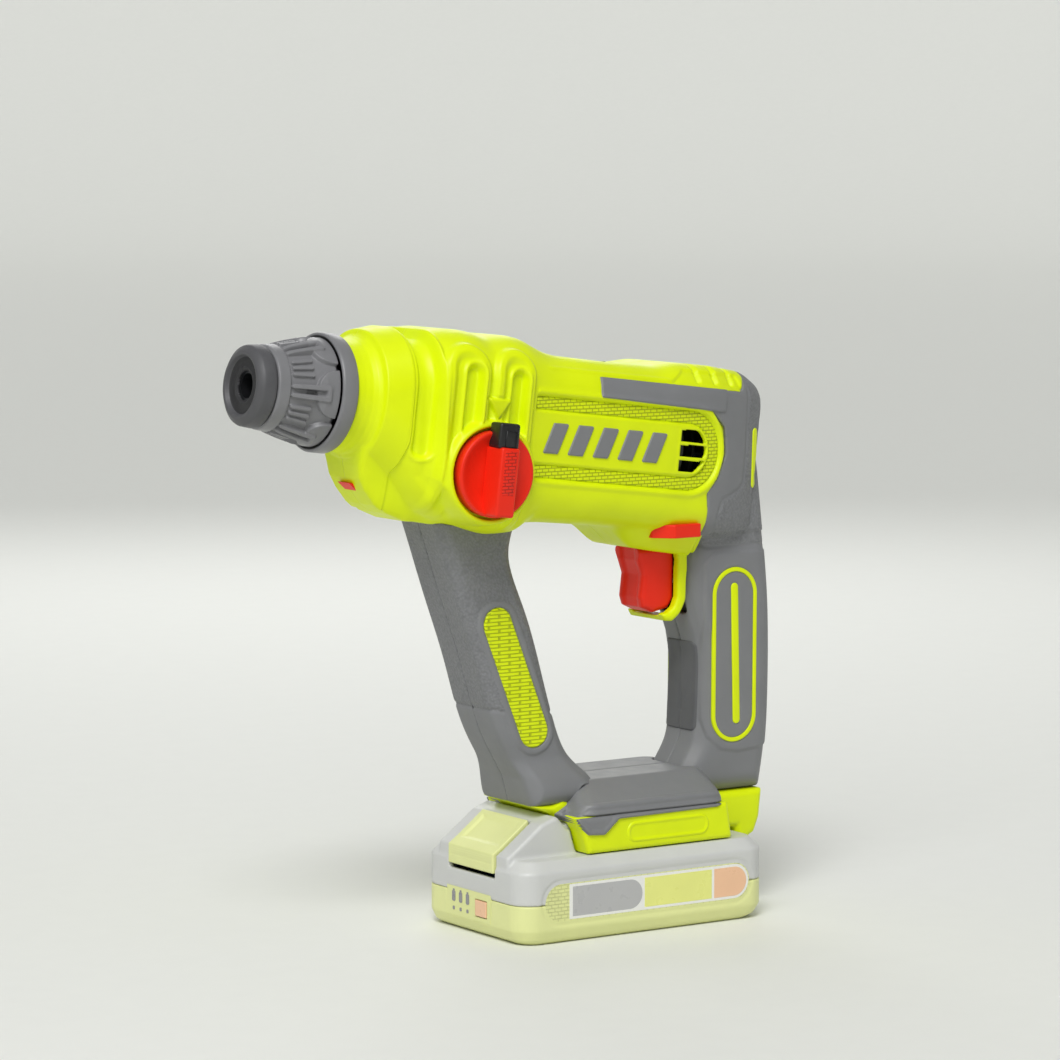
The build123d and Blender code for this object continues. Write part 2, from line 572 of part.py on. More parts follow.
def build_battery():
    low = loft([plan(112, 67, 7, 0, -1.0), plan(119.6, 72, 9, 2.0, -0.4),
                plan(BATT_L, BATT_W, 10, 6.0)], ruled=True)
    low = low + extrude(plan(BATT_L, BATT_W, 10, 6.0), amount=BATT_SPLIT - 6.0)
    low = low - extrude(battery_room(3.4), amount=40)
    high = extrude(plan(BATT_L, BATT_W, 10, BATT_SPLIT), amount=29.5 - BATT_SPLIT)
    high = high + loft([plan(BATT_L, BATT_W, 10, 29.5), plan(115.7, 67, 8, 34.2)], ruled=True)
    wedge = prism([(-61.2, 28), (-61.2, 35.2), (-57.6, 37.6), (-44.6, 47.4), (-37.6, 50.0),
                   (-36.8, 50.0), (-31.4, 44.2), (-30.4, 44.2), (-27.2, 34.0), (-27.2, 28)], -26, 26)
    wedge = softened(wedge, 3.0)
    rail = slab(-34, 36.6, -20.1, 20.1, 33, 39.4) + slab(-34, 36.6, -23.1, 23.1, 39.4, 46.6)
    rail = rail - slab(-40, -30.9, -30, 30, 44.6, 60)
    high = high + wedge + rail
    high = high - extrude(battery_room(10), amount=21.4)
    high = high - slab(-55.0, -34.0, -22.0, 22.0, 31.0, 34.0)
    room = prism([(-70, 60), (-43.6, 60), (-43.6, 46.4), (-42.2, 41.8), (-56.6, 30.6), (-57.0, 25.6),
                  (-70, 25.6)], -17.3, 17.3)
    high = high - room
    for y in CONTACTS:
        high = high - slab(23.4, 60.0, y - 1.9, y + 1.9, 38.0, 60.0)
        high = high - slab(23.4, 35.0, y - 1.9, y + 1.9, 30.0, 60.0)
    panel = slab(-61.85, -61.25, -14.4, 18.4, 6.2, 18.2)
    panel_button_room = slab(-70, -56.0, -11.7, -2.7, 8.0, 15.4)
    labels = []
    for low_y, high_y in ((-37.5, -37.1), (37.1, 37.5)):
        labels.append(capsule(-42.6, 17.0, 44.2, 17.0, 7.9, low_y, high_y))
    for cut in labels + [slab(-70, -61.25, -14.4, 18.4, 6.2, 18.2), panel_button_room]:
        low = low - cut
        high = high - cut
    write(biggest(low), "battery_lower_case")
    write(biggest(high), "battery_upper_case")
    write(panel - panel_button_room, "charge_panel")
    write(group(labels), "battery_labels")
    write(slab(-62.2, -57.2, -11.3, -3.1, 8.4, 15.0), "charge_button")
    latch = prism([(-45.2, 48.4), (-58.0, 38.6), (-62.4, 35.6), (-62.4, 27.6), (-58.8, 27.6),
                   (-58.4, 33.0), (-44.2, 44.0)], -16.8, 16.8)
    write(latch, "battery_latch")
    cells = [along_y(CELL_PITCH * (k - 2), CELL_Z, CELL_R, -32.4, 32.4) for k in range(5)]
    write(group(cells), "battery_cells")
    tabs = []
    for side in (-1, 1):
        low_y, high_y = sorted((side * 32.5, side * 32.8))
        for k in range(2):
            x0 = -41.0 + 37.2 * k + (18.6 if side > 0 else 0)
            tabs.append(slab(x0, x0 + 26.2, low_y, high_y, 9.0, 16.0))
    write(slab(-46, 46, -24, 24, 22.2, 23.8), "battery_board")
    leaves = []
    for y in CONTACTS:
        for side in (-1, 1):
            low_y, high_y = sorted((y + side * 0.9, y + side * 1.4))
            leaves.append(slab(24.4, 34.0, low_y, high_y, 23.8, 44.6))
    write(group(leaves + tabs), "battery_contacts")


def side_inlays():
    """Flat pieces let into the sides of the body: the long badge and the soft top strip."""
    layer = side_layer(LAYER)
    parts = []
    for low, high in ((-60, -5), (5, 60)):
        track = capsule(-38.0, -8.8, 31.5, -8.8, 16.6, low, high)
        strip = prism([(-19, 9.6), (-19, 17.4), (37.6, 17.4), (37.6, 9.2)], low, high)
        parts.append(layer & (HAMMER * (track & slab(-50, 60, -60, 60, -40, 40))))
        parts.append(layer & (HAMMER * strip))
    return parts


def build_inlays():
    parts = []
    for part in side_inlays():
        for cut in vent_slots() + screw_bars(1.55, -12.0, 3.3, 60.0):
            part = part - cut
        parts.append(biggest(part))
    write(group([parts[0], parts[2]]), "side_panels")
    write(group([parts[1], parts[3]]), "top_strips")


if __name__ == "__main__":
    build_housing()
    build_inlays()
    build_strut()
    build_handle()
    build_base()
    build_foot()
    build_chuck()
    build_gearbox()
    build_motor()
    build_controls()
    build_battery()
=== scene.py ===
import math
from functools import partial

import bmesh
import bpy
import numpy as np
from bpy.props import FloatProperty, PointerProperty, StringProperty
from mathutils import Matrix, Vector
from mathutils.bvhtree import BVHTree


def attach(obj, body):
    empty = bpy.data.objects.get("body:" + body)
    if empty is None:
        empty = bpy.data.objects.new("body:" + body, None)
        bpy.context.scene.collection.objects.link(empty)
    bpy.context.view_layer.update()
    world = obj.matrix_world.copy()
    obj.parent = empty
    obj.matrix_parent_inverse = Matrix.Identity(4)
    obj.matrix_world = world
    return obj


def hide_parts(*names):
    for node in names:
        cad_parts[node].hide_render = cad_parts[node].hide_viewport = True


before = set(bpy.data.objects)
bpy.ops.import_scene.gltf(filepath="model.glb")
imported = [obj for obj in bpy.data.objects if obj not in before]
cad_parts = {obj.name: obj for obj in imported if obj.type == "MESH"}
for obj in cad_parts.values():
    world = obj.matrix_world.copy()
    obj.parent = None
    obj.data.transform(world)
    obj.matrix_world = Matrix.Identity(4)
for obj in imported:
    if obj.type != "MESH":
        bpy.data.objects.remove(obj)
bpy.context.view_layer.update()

bl_info = {
    "name": "Rotary Hammer",
    "version": (1, 0, 0),
    "blender": (4, 5, 0),
    "location": "View3D > Sidebar > Hammer",
    "description": "Builds the visible pieces of a battery rotary hammer round its packed frame",
    "category": "Object",
}

MM = 0.001

# the hammer axis, in millimetres and radians, as the frame holds it
TILT = math.radians(7.0)
AXIS_HEIGHT = 208.8

# the mode knob's centre on the left side, along and above the hammer axis
KNOB_U, KNOB_W, KNOB_R = -72.1, -25.1, 17.5
KNOB_FACE = 36.0

LEFT, RIGHT = -1, 1

# the refractive index of the moulded plastics and rubbers
PLASTIC_IOR = 1.5

# the raised pointer above the mode knob, along and above the hammer axis
POINTER = [(-76.2, 4.6), (-65.8, 4.6), (-71.0, -3.0)]

# the middle height of the label on each side of the battery
LABEL_Z = 17.0

# the grip's lines, in millimetres along and up: the strut pad's ends, the raised field low on the handle,
# the pebbled palm area above it and the pad on each side of the base
PAD_ENDS = (-59.5, 129.5), (-42.0, 84.5)
FIELD = [(44.6, 147.5), (50.0, 151.6), (100.0, 151.6), (100.0, 71.0), (62.0, 67.6), (53.0, 69.0),
         (46.5, 74.5), (44.6, 82.0)]
PALM = [(62.3, 230.0), (61.6, 194.5), (60.2, 181.8), (57.0, 178.6), (46.6, 175.0), (44.2, 170.0),
        (43.6, 161.0), (40.2, 156.4), (46.0, 154.6), (100.0, 154.0), (100.0, 230.0)]
BASE_PAD = [(-25.8, 54.2), (39.6, 54.2), (42.2, 51.2), (37.6, 49.4), (-12.4, 49.0), (-19.5, 43.0),
            (-26.8, 43.6), (-33.6, 50.0)]


# ---- settings -------------------------------------------------------------------------------------

class HammerSettings(bpy.types.PropertyGroup):
    lime: StringProperty(name="Lime", description="Colour of the moulded body, sRGB hex", default="#E2F400")
    grey: StringProperty(name="Grip grey", description="Colour of the soft grip, sRGB hex", default="#7E7F82")
    sleeve: StringProperty(name="Sleeve grey", description="Colour of the chuck sleeve, sRGB hex",
                           default="#7C7C7F")
    cap: StringProperty(name="Cap grey", description="Colour of the rubber dust cap, sRGB hex",
                        default="#505053")
    red: StringProperty(name="Red", description="Colour of the knob, trigger and buttons, sRGB hex",
                        default="#F02A12")
    pack_grey: StringProperty(name="Pack grey", description="Colour of the battery's top, sRGB hex",
                              default="#CFD0CF")
    pack_lime: StringProperty(name="Pack lime", description="Colour of the battery's bottom, sRGB hex",
                              default="#E6EAA4")
    grain: FloatProperty(name="Grain", description="Depth of the moulded grain", default=0.35, min=0, max=1)
    key_power: FloatProperty(name="Key light", description="Power of the near soft light", default=5.0,
                             unit="POWER")
    sun_strength: FloatProperty(name="Sky light", description="Strength of the wide soft light",
                                default=1.55, min=0)


def settings():
    return bpy.context.scene.hammer_settings


# ---- places and shapes ----------------------------------------------------------------------------

def to_world(points):
    """From along, across and above the hammer axis, in millimetres, to metres in the frame."""
    u, y, w = np.asarray(points, float).T
    c, s = math.cos(TILT), math.sin(TILT)
    return np.stack([u * c + w * s, y, AXIS_HEIGHT - u * s + w * c], 1) * MM


def to_tool(points):
    """From metres in the frame to along, across and above the hammer axis, in millimetres."""
    x, y, z = (np.asarray(points, float) / MM).T
    z = z - AXIS_HEIGHT
    c, s = math.cos(TILT), math.sin(TILT)
    return np.stack([x * c - z * s, y, x * s + z * c], 1)


TOOL = Matrix.Translation((0, 0, AXIS_HEIGHT * MM)) @ Matrix.Rotation(TILT, 4, "Y") @ Matrix.Scale(MM, 4)


def ramp(low, high, value):
    """0 below low, 1 above high and smooth between."""
    t = np.clip((np.asarray(value, float) - low) / (high - low), 0, 1)
    return t * t * (3 - 2 * t)


def to_capsule(x, z, a, b, radius):
    """Distance to a flat bar with round ends, negative inside."""
    ax, az = a
    dx, dz = b[0] - ax, b[1] - az
    along = np.clip(((x - ax) * dx + (z - az) * dz) / (dx * dx + dz * dz + 1e-9), 0, 1)
    return np.hypot(x - ax - along * dx, z - az - along * dz) - radius


def to_outline(x, z, corners):
    """Distance to a many-cornered outline, negative inside."""
    nearest = np.full(np.shape(x), 1e9)
    inside = np.zeros(np.shape(x), bool)
    count = len(corners)
    for n in range(count):
        (ax, az), (bx, bz) = corners[n], corners[(n + 1) % count]
        dx, dz = bx - ax, bz - az
        along = np.clip(((x - ax) * dx + (z - az) * dz) / (dx * dx + dz * dz), 0, 1)
        nearest = np.minimum(nearest, np.hypot(x - ax - along * dx, z - az - along * dz))
        crosses = ((az > z) != (bz > z)) & (x < dx * (z - az) / (dz if abs(dz) > 1e-9 else 1e-9) + ax)
        inside ^= crosses
    return np.where(inside, -nearest, nearest)


def ridge(distance, width):
    """A rounded ridge along distance 0."""
    return np.exp(-(distance / width) ** 2)


# ---- piece making ---------------------------------------------------------------------------------

def finish_piece(name, mesh, body, nodes, material, smooth=True):
    """Links a mesh whose place is in its points, and tells the frame what it is."""
    piece = bpy.data.objects.new(name, mesh)
    bpy.context.scene.collection.objects.link(piece)
    mesh.materials.clear()
    for entry in material if isinstance(material, (list, tuple)) else [material]:
        mesh.materials.append(entry)
    if smooth:
        mesh.shade_smooth()
    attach(piece, body)
    if nodes:
        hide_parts(*nodes)
    return piece


def mesh_from(bm, name, recalc=False):
    if recalc:
        bmesh.ops.recalc_face_normals(bm, faces=bm.faces[:])
    mesh = bpy.data.meshes.new(name)
    bm.to_mesh(mesh)
    bm.free()
    return mesh


def points_of(mesh):
    co = np.empty(len(mesh.vertices) * 3)
    mesh.vertices.foreach_get("co", co)
    return co.reshape(-1, 3)


def set_points(mesh, co):
    mesh.vertices.foreach_set("co", np.asarray(co, float).ravel())
    mesh.update()


def normals_of(mesh):
    out = np.empty(len(mesh.vertices) * 3)
    mesh.vertex_normals.foreach_get("vector", out)
    return out.reshape(-1, 3)


def surface_grid(name, rows, columns, place, keep=None, closed=False, flip=False):
    """A flat grid whose points place() moves on to a surface; keep() says which of them stay."""
    bm = bmesh.new()
    bmesh.ops.create_grid(bm, x_segments=rows, y_segments=columns, size=1.0)
    flat = np.array([v.co for v in bm.verts])
    a, b = (flat[:, 0] + 1) / 2, (flat[:, 1] + 1) / 2
    where = place(a, b)
    for vert, co in zip(bm.verts, where):
        vert.co = co
    if keep is not None:
        stays = keep(a, b)
        gone = [v for v, stay in zip(bm.verts, stays) if not stay]
        bmesh.ops.delete(bm, geom=gone, context="VERTS")
    if closed:
        bmesh.ops.remove_doubles(bm, verts=bm.verts[:], dist=0.00001)
    if flip:
        bmesh.ops.reverse_faces(bm, faces=bm.faces[:])
    return mesh_from(bm, name)


def turned(outline, steps=96, closed_ring=False):
    """A bmesh turned about the tool's axis from (along, radius) points in millimetres."""
    bm = bmesh.new()
    verts = [bm.verts.new((u, 0, r)) for u, r in outline]
    edges = [bm.edges.new(pair) for pair in zip(verts, verts[1:])]
    if closed_ring:
        edges.append(bm.edges.new((verts[-1], verts[0])))
    bmesh.ops.spin(bm, geom=verts + edges, cent=(0, 0, 0), axis=(1, 0, 0), angle=2 * math.pi,
                   steps=steps, use_merge=True)
    bmesh.ops.remove_doubles(bm, verts=bm.verts[:], dist=0.0005)
    return bm


def rounded_block(size, centre, radius, segments=4):
    """A bmesh block with rounded edges, in millimetres."""
    bm = bmesh.new()
    bmesh.ops.create_cube(bm, size=1.0, matrix=Matrix.Translation(centre) @ Matrix.Diagonal((*size, 1)))
    bmesh.ops.bevel(bm, geom=bm.edges[:], offset=radius, segments=segments, affect="EDGES", profile=0.5,
                    material=-1)
    return bm


def extruded(outline, low, high, radius=0.0, segments=3):
    """A bmesh plate across the tool from (x, z) corners in millimetres, with its rims rounded."""
    bm = bmesh.new()
    face = bm.faces.new([bm.verts.new((x, low, z)) for x, z in outline])
    grown = bmesh.ops.extrude_face_region(bm, geom=[face])
    moved = [g for g in grown["geom"] if isinstance(g, bmesh.types.BMVert)]
    bmesh.ops.translate(bm, verts=moved, vec=(0, high - low, 0))
    bmesh.ops.recalc_face_normals(bm, faces=bm.faces[:])
    if radius:
        rims = [e for e in bm.edges if abs(e.verts[0].co.y - e.verts[1].co.y) < 1e-6]
        bmesh.ops.bevel(bm, geom=rims, offset=radius, segments=segments, affect="EDGES", profile=0.5,
                        material=-1)
    return bm


def bar_outline(a, b, radius, steps=16):
    """The outline of a flat bar with round ends."""
    turn = math.atan2(b[1] - a[1], b[0] - a[0])
    points = []
    for centre, start in ((b, turn - math.pi / 2), (a, turn + math.pi / 2)):
        for n in range(steps + 1):
            angle = start + math.pi * n / steps
            points.append((centre[0] + radius * math.cos(angle), centre[1] + radius * math.sin(angle)))
    return points


def remoulded(name, nodes, voxel, clip=None, relax=2):
    """A fused copy of CAD nodes with soft moulded edges, optionally only where clip() is true."""
    bm = bmesh.new()
    for node in nodes:
        bm.from_mesh(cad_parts[node].data)
    bmesh.ops.remove_doubles(bm, verts=bm.verts[:], dist=0.000002)
    if clip is not None:
        for point, normal in clip:
            bmesh.ops.bisect_plane(bm, geom=bm.verts[:] + bm.edges[:] + bm.faces[:], dist=0.0000001,
                                   plane_co=point, plane_no=normal, clear_outer=True)
            bmesh.ops.holes_fill(bm, edges=[e for e in bm.edges if e.is_boundary])
    rough = mesh_from(bm, name + "_rough")
    carrier = bpy.data.objects.new(name + "_rough", rough)
    bpy.context.scene.collection.objects.link(carrier)
    remesh = carrier.modifiers.new("Remesh", "REMESH")
    remesh.mode = "VOXEL"
    remesh.voxel_size = voxel * MM
    if relax:
        calm = carrier.modifiers.new("Smooth", "SMOOTH")
        calm.factor = 0.5
        calm.iterations = relax
    shaped = carrier.evaluated_get(bpy.context.evaluated_depsgraph_get())
    mesh = bpy.data.meshes.new_from_object(shaped)
    mesh.name = name
    bpy.data.objects.remove(carrier)
    bpy.data.meshes.remove(rough)
    return mesh


# ---- materials ------------------------------------------------------------------------------------

def linear(colour):
    """An sRGB hex colour as linear red, green, blue and alpha."""
    parts = [int(colour[n:n + 2], 16) / 255 for n in (1, 3, 5)]
    return tuple(c / 12.92 if c <= 0.04045 else ((c + 0.055) / 1.055) ** 2.4 for c in parts) + (1.0,)


def node(tree, kind, settings=None, inputs=None):
    """Adds a shader node with its settings, and values or links on its inputs."""
    made = tree.nodes.new(kind)
    for key, value in (settings or {}).items():
        setattr(made, key, value)
    for key, value in (inputs or {}).items():
        socket = made.inputs[key]
        if isinstance(value, bpy.types.NodeSocket):
            tree.links.new(value, socket)
        else:
            socket.default_value = value
    return made


def new_material(name):
    material = bpy.data.materials.new(name)
    material.use_nodes = True
    tree = material.node_tree
    tree.nodes.clear()
    out = tree.nodes.new("ShaderNodeOutputMaterial")
    shader = tree.nodes.new("ShaderNodeBsdfPrincipled")
    tree.links.new(shader.outputs[0], out.inputs[0])
    place = node(tree, "ShaderNodeTexCoord").outputs["Object"]
    return material, tree, shader, place


def mottled(tree, place, colour, amount, size):
    """The colour with faint lighter and darker clouds of the given size in millimetres."""
    cloud = node(tree, "ShaderNodeTexNoise", {}, {"Vector": place, "Scale": 1 / (size * MM), "Detail": 4.0})
    tone = node(tree, "ShaderNodeMapRange", {}, {"Value": cloud.outputs["Fac"], "From Min": 0.3,
                                                 "From Max": 0.7, "To Min": 1 - amount, "To Max": 1 + amount})
    return node(tree, "ShaderNodeVectorMath", {"operation": "SCALE"},
                {0: linear(colour)[:3], "Scale": tone.outputs[0]}).outputs[0]


def grain_bump(tree, place, size, depth, under=None, rough=0.5):
    """Fine moulded grain: size and depth in millimetres."""
    fine = node(tree, "ShaderNodeTexNoise", {}, {"Vector": place, "Scale": 1 / (size * MM), "Detail": 2.0,
                                                 "Roughness": rough})
    inputs = {"Height": fine.outputs["Fac"], "Strength": 1.0, "Distance": depth * MM}
    if under is not None:
        inputs["Normal"] = under
    return node(tree, "ShaderNodeBump", {}, inputs).outputs[0]


def moulded_plastic(name, colour, roughness, grain_mm, grain_depth, variation=0.03, coat=0.0, spec=0.5):
    """A moulded plastic: fine spark-eroded grain breaks its highlights, and its tone drifts slightly."""
    material, tree, shader, place = new_material(name)
    tree.links.new(mottled(tree, place, colour, variation, 14.0), shader.inputs["Base Color"])
    wear = node(tree, "ShaderNodeTexNoise", {}, {"Vector": place, "Scale": 1 / (6 * MM), "Detail": 5.0})
    gloss = node(tree, "ShaderNodeMapRange", {}, {"Value": wear.outputs["Fac"], "From Min": 0.3,
                                                  "From Max": 0.7, "To Min": roughness - 0.05,
                                                  "To Max": roughness + 0.06})
    tree.links.new(gloss.outputs[0], shader.inputs["Roughness"])
    tree.links.new(grain_bump(tree, place, grain_mm, grain_depth), shader.inputs["Normal"])
    shader.inputs["IOR"].default_value = PLASTIC_IOR
    shader.inputs["Specular IOR Level"].default_value = spec
    shader.inputs["Coat Weight"].default_value = coat
    shader.inputs["Coat Roughness"].default_value = 0.25
    return material


def leather_rubber(name, colour, cell_mm, depth):
    """Soft over-moulded rubber with a coarse matt pebbled grain; painted highlight on the pebbles, painted
    shade between.
    """
    material, tree, shader, place = new_material(name)
    cells = node(tree, "ShaderNodeTexVoronoi", {"feature": "SMOOTH_F1"},
                 {"Vector": place, "Scale": 1 / (cell_mm * MM), "Smoothness": 0.6})
    # painted highlight and shade: the pebbles' raised middles are coloured lighter and the hollows between
    # them darker
    tone = node(tree, "ShaderNodeMapRange", {}, {"Value": cells.outputs["Distance"], "From Min": 0.0,
                                                 "From Max": 0.8, "To Min": 1.12, "To Max": 0.84})
    base = node(tree, "ShaderNodeVectorMath", {"operation": "SCALE"},
                {0: mottled(tree, place, colour, 0.04, 12.0), "Scale": tone.outputs[0]})
    tree.links.new(base.outputs[0], shader.inputs["Base Color"])
    flip = node(tree, "ShaderNodeMath", {"operation": "SUBTRACT"}, {0: 1.0, 1: cells.outputs["Distance"]})
    bump = node(tree, "ShaderNodeBump", {}, {"Height": flip.outputs[0], "Strength": 1.0,
                                             "Distance": depth * MM,
                                             "Normal": grain_bump(tree, place, 0.35, 0.02)})
    tree.links.new(bump.outputs[0], shader.inputs["Normal"])
    shader.inputs["Roughness"].default_value = 0.55
    shader.inputs["IOR"].default_value = PLASTIC_IOR
    return material


def woven_relief(name, colour, pitch_mm, depth, tilt=0.0, joint_shade=0.6):
    """Plastic moulded with rows of small raised bricks, with painted shade darkening the sunken joints
    between them.
    """
    material, tree, shader, place = new_material(name)
    turn = node(tree, "ShaderNodeMapping", {}, {"Vector": place, "Rotation": (math.pi / 2, tilt, 0),
                                                "Scale": (1 / MM,) * 3})
    brick = node(tree, "ShaderNodeTexBrick", {"offset": 0.5},
                 {"Vector": turn.outputs[0], "Scale": 1.0, "Brick Width": pitch_mm * 2.1,
                  "Row Height": pitch_mm, "Mortar Size": pitch_mm * 0.16, "Mortar Smooth": 0.6,
                  "Color1": linear(colour), "Color2": linear(colour), "Mortar": linear(colour)})
    # painted shade: the sunken joints between the bricks are darkened
    tone = node(tree, "ShaderNodeMapRange", {}, {"Value": brick.outputs["Fac"], "To Min": 1.0,
                                                 "To Max": joint_shade})
    base = node(tree, "ShaderNodeVectorMath", {"operation": "SCALE"},
                {0: mottled(tree, place, colour, 0.04, 5.0), "Scale": tone.outputs[0]})
    tree.links.new(base.outputs[0], shader.inputs["Base Color"])
    height = node(tree, "ShaderNodeMath", {"operation": "SUBTRACT"}, {0: 1.0, 1: brick.outputs["Fac"]})
    bump = node(tree, "ShaderNodeBump", {}, {"Height": height.outputs[0], "Strength": 1.0,
                                             "Distance": depth * MM,
                                             "Normal": grain_bump(tree, place, 0.3, 0.015)})
    tree.links.new(bump.outputs[0], shader.inputs["Normal"])
    shader.inputs["Roughness"].default_value = 0.42
    shader.inputs["Specular IOR Level"].default_value = 0.35
    return material


def turned_steel(name, colour, roughness):
    """Ground and oiled steel: fine circular scratches stretch its highlights."""
    material, tree, shader, place = new_material(name)
    lines = node(tree, "ShaderNodeTexNoise", {}, {"Vector": place, "Scale": 1 / (0.5 * MM), "Detail": 3.0})
    tree.links.new(mottled(tree, place, colour, 0.08, 3.0), shader.inputs["Base Color"])
    gloss = node(tree, "ShaderNodeMapRange", {}, {"Value": lines.outputs["Fac"], "To Min": roughness - 0.1,
                                                  "To Max": roughness + 0.15})
    tree.links.new(gloss.outputs[0], shader.inputs["Roughness"])
    tree.links.new(grain_bump(tree, place, 0.4, 0.01), shader.inputs["Normal"])
    shader.inputs["Metallic"].default_value = 1.0
    return material


FINISHES = {}


def finish(name):
    """The named finish, made the first time it is asked for."""
    if name in FINISHES:
        return FINISHES[name]
    s = settings()
    g = s.grain
    recipes = {
        "lime ABS, moulded": lambda: moulded_plastic("lime_abs_moulded", s.lime, 0.4, 0.5, 0.05 * g,
                                                     0.025, spec=0.3),
        "lime relief": lambda: woven_relief("lime_abs_woven_relief", s.lime, 1.45, 0.35, -TILT),
        "lime scale relief": lambda: woven_relief("lime_tpe_scale_relief", s.lime, 1.5, 0.35, 1.25),
        "grey TPE, moulded": lambda: moulded_plastic("grey_tpe_moulded", s.grey, 0.5, 0.45, 0.09 * g, 0.03),
        # painted shade: a darker copy of the grip grey for the handle's front face
        "grey TPE, painted shade": lambda: moulded_plastic("grey_tpe_painted_shade", "#5C5D60", 0.55, 0.45, 0.1 * g,
                                                     0.03),
        "grey TPE, pebbled": lambda: leather_rubber("grey_tpe_pebbled", s.grey, 1.1, 0.28),
        "sleeve nylon": lambda: moulded_plastic("grey_nylon_moulded", s.sleeve, 0.36, 0.4, 0.08 * g, 0.03),
        "cap rubber": lambda: moulded_plastic("dark_nitrile_rubber_moulded", s.cap, 0.48, 0.4, 0.1 * g, 0.04),
        # painted shade: a darker copy of the cap rubber for the sunken dish in the cap's face
        "cap rubber, painted dish shade": lambda: moulded_plastic("cap_rubber_dish_painted_shade", "#2B2B2D", 0.6, 0.4, 0.08 * g, 0.04),
        "red ABS": lambda: moulded_plastic("red_abs_moulded", s.red, 0.4, 0.4, 0.05 * g, 0.03, spec=0.3),
        "red relief": lambda: woven_relief("red_abs_relief", s.red, 1.3, 0.3, 0.6),
        "black ABS": lambda: moulded_plastic("black_abs_moulded", "#1C1C1E", 0.42, 0.4, 0.05 * g, 0.05),
        "pack grey PC": lambda: moulded_plastic("pale_grey_polycarbonate", s.pack_grey, 0.4, 0.45, 0.06 * g,
                                                0.02),
        "pack lime PC": lambda: moulded_plastic("pale_lime_polycarbonate", s.pack_lime, 0.4, 0.45, 0.06 * g,
                                                0.02),
        "steel": lambda: turned_steel("ground_steel", "#B9BCC0", 0.3),
        "dark steel": lambda: turned_steel("blackened_steel", "#5A5C60", 0.38),
        "aluminium": lambda: turned_steel("die_cast_aluminium", "#C6C8CC", 0.45),
        "copper": lambda: turned_steel("enamelled_copper_wire", "#C0713A", 0.35),
        "nickel": lambda: turned_steel("nickel_strip", "#CFC9BC", 0.3),
        "board": lambda: moulded_plastic("green_solder_mask", "#1E6B3A", 0.3, 0.8, 0.03, 0.06, coat=0.4),
        "cell wrap": lambda: moulded_plastic("cell_shrink_film", "#2E6FA8", 0.28, 1.2, 0.02, 0.05, coat=0.5),
        "pack relief": lambda: woven_relief("pale_lime_relief", s.pack_lime, 1.5, 0.2, 0.0, 0.85),
    }
    for word, colour, drift in (("white", "#F2F2EF", 0.01), ("grey", "#B9B9BB", 0.02),
                                ("dark", "#8E8E92", 0.02), ("lime", "#EDF08A", 0.02),
                                ("orange", "#F6C6A0", 0.02)):
        recipes["label " + word] = partial(moulded_plastic, "label_film_" + word, colour, 0.3, 1.0, 0.01,
                                           drift, coat=0.3)
    FINISHES[name] = recipes[name]()
    return FINISHES[name]


def fill_slot(piece_nodes, name):
    """Gives carried-over CAD nodes a finish."""
    for item in piece_nodes:
        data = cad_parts[item].data
        data.materials.clear()
        data.materials.append(finish(name))


# ---- the body's surface ---------------------------------------------------------------------------

# along the axis with: half width, top, bottom, corner radius
SECTION = np.array([
    (-129.4, 22.3, 22.3, -22.3, 22.2), (-126.0, 22.4, 22.4, -22.4, 22.3), (-123.0, 22.9, 22.8, -22.9, 22.7),
    (-121.0, 23.9, 23.6, -23.9, 23.5), (-119.9, 25.0, 24.5, -24.8, 24.3), (-119.3, 26.0, 25.4, -25.6, 25.0),
    (-118.8, 26.4, 25.8, -26.0, 25.0), (-109.0, 28.6, 28.0, -32.0, 24.0), (-108.3, 28.5, 27.9, -32.6, 23.8),
    (-107.3, 28.3, 27.4, -33.6, 23.0), (-103.0, 29.7, 26.8, -37.5, 21.5), (-98.8, 30.6, 27.0, -41.2, 20.0),
    (-96.0, 31.6, 28.4, -42.8, 19.5), (-91.0, 32.4, 29.8, -44.6, 19.0), (-84.5, 32.8, 30.6, -46.5, 18.0),
    (-78.0, 32.8, 30.1, -47.2, 18.0), (-72.6, 32.6, 28.4, -47.4, 17.5), (-67.0, 32.6, 29.6, -47.2, 17.5),
    (-61.0, 32.3, 30.4, -46.8, 17.5), (-54.0, 31.6, 29.6, -46.0, 17.0), (-48.0, 30.6, 27.4, -45.0, 16.5),
    (-42.0, 30.0, 25.3, -44.2, 15.5), (-36.0, 29.8, 24.3, -43.6, 15.0), (-10.0, 29.6, 24.0, -43.0, 14.0),
    (12.0, 29.1, 24.2, -43.4, 14.0), (18.0, 28.9, 25.5, -43.8, 14.0), (23.0, 28.5, 26.6, -44.2, 13.8),
    (42.0, 26.5, 27.0, -45.0, 13.0), (60.0, 22.2, 26.0, -46.0, 12.0), (71.0, 17.0, 22.0, -46.0, 11.0)])
CHIN = np.array([(-121.0, -20.0), (-120.2, -26.0), (-118.6, -31.5), (-115.5, -36.0), (-110.0, -41.5),
                 (-104.0, -45.2), (-97.0, -47.2), (-84.0, -48.0), (-70.0, -47.6)])
# the line behind which the body is grey
REAR_EDGE = [(30, -120), (40, -82), (45.2, -72), (43.6, -53.9), (43.5, -43.8), (42, -33), (40.5, -26),
             (45.8, -19), (48.3, -9), (46, 1), (38.6, 8.6), (30, 9.6), (-19, 9.6), (-19, 17.4), (55, 17.6),
             (59, 24), (60, 60), (110, 60), (110, -120)]
# the bright band behind the nose, which ends below in a point
BAND = [(-119.2, 60), (-108.4, 60), (-107.6, -16), (-109.0, -28.0), (-101.5, -46), (-106.0, -46),
        (-121.8, -25.0), (-119.4, -17.0)]
# each arch: centre, radius and height of its round top, then the same for its slot
ARCHES = ((-85.9, 10.9, 14.6, -83.1, 3.4, 13.6), (-63.3, 10.5, 14.8, -61.4, 3.4, 13.0))
# the vents' lower and upper edges
VENTS = ((-5.0, -0.6), (-11.0, -6.8), (-17.2, -13.0))


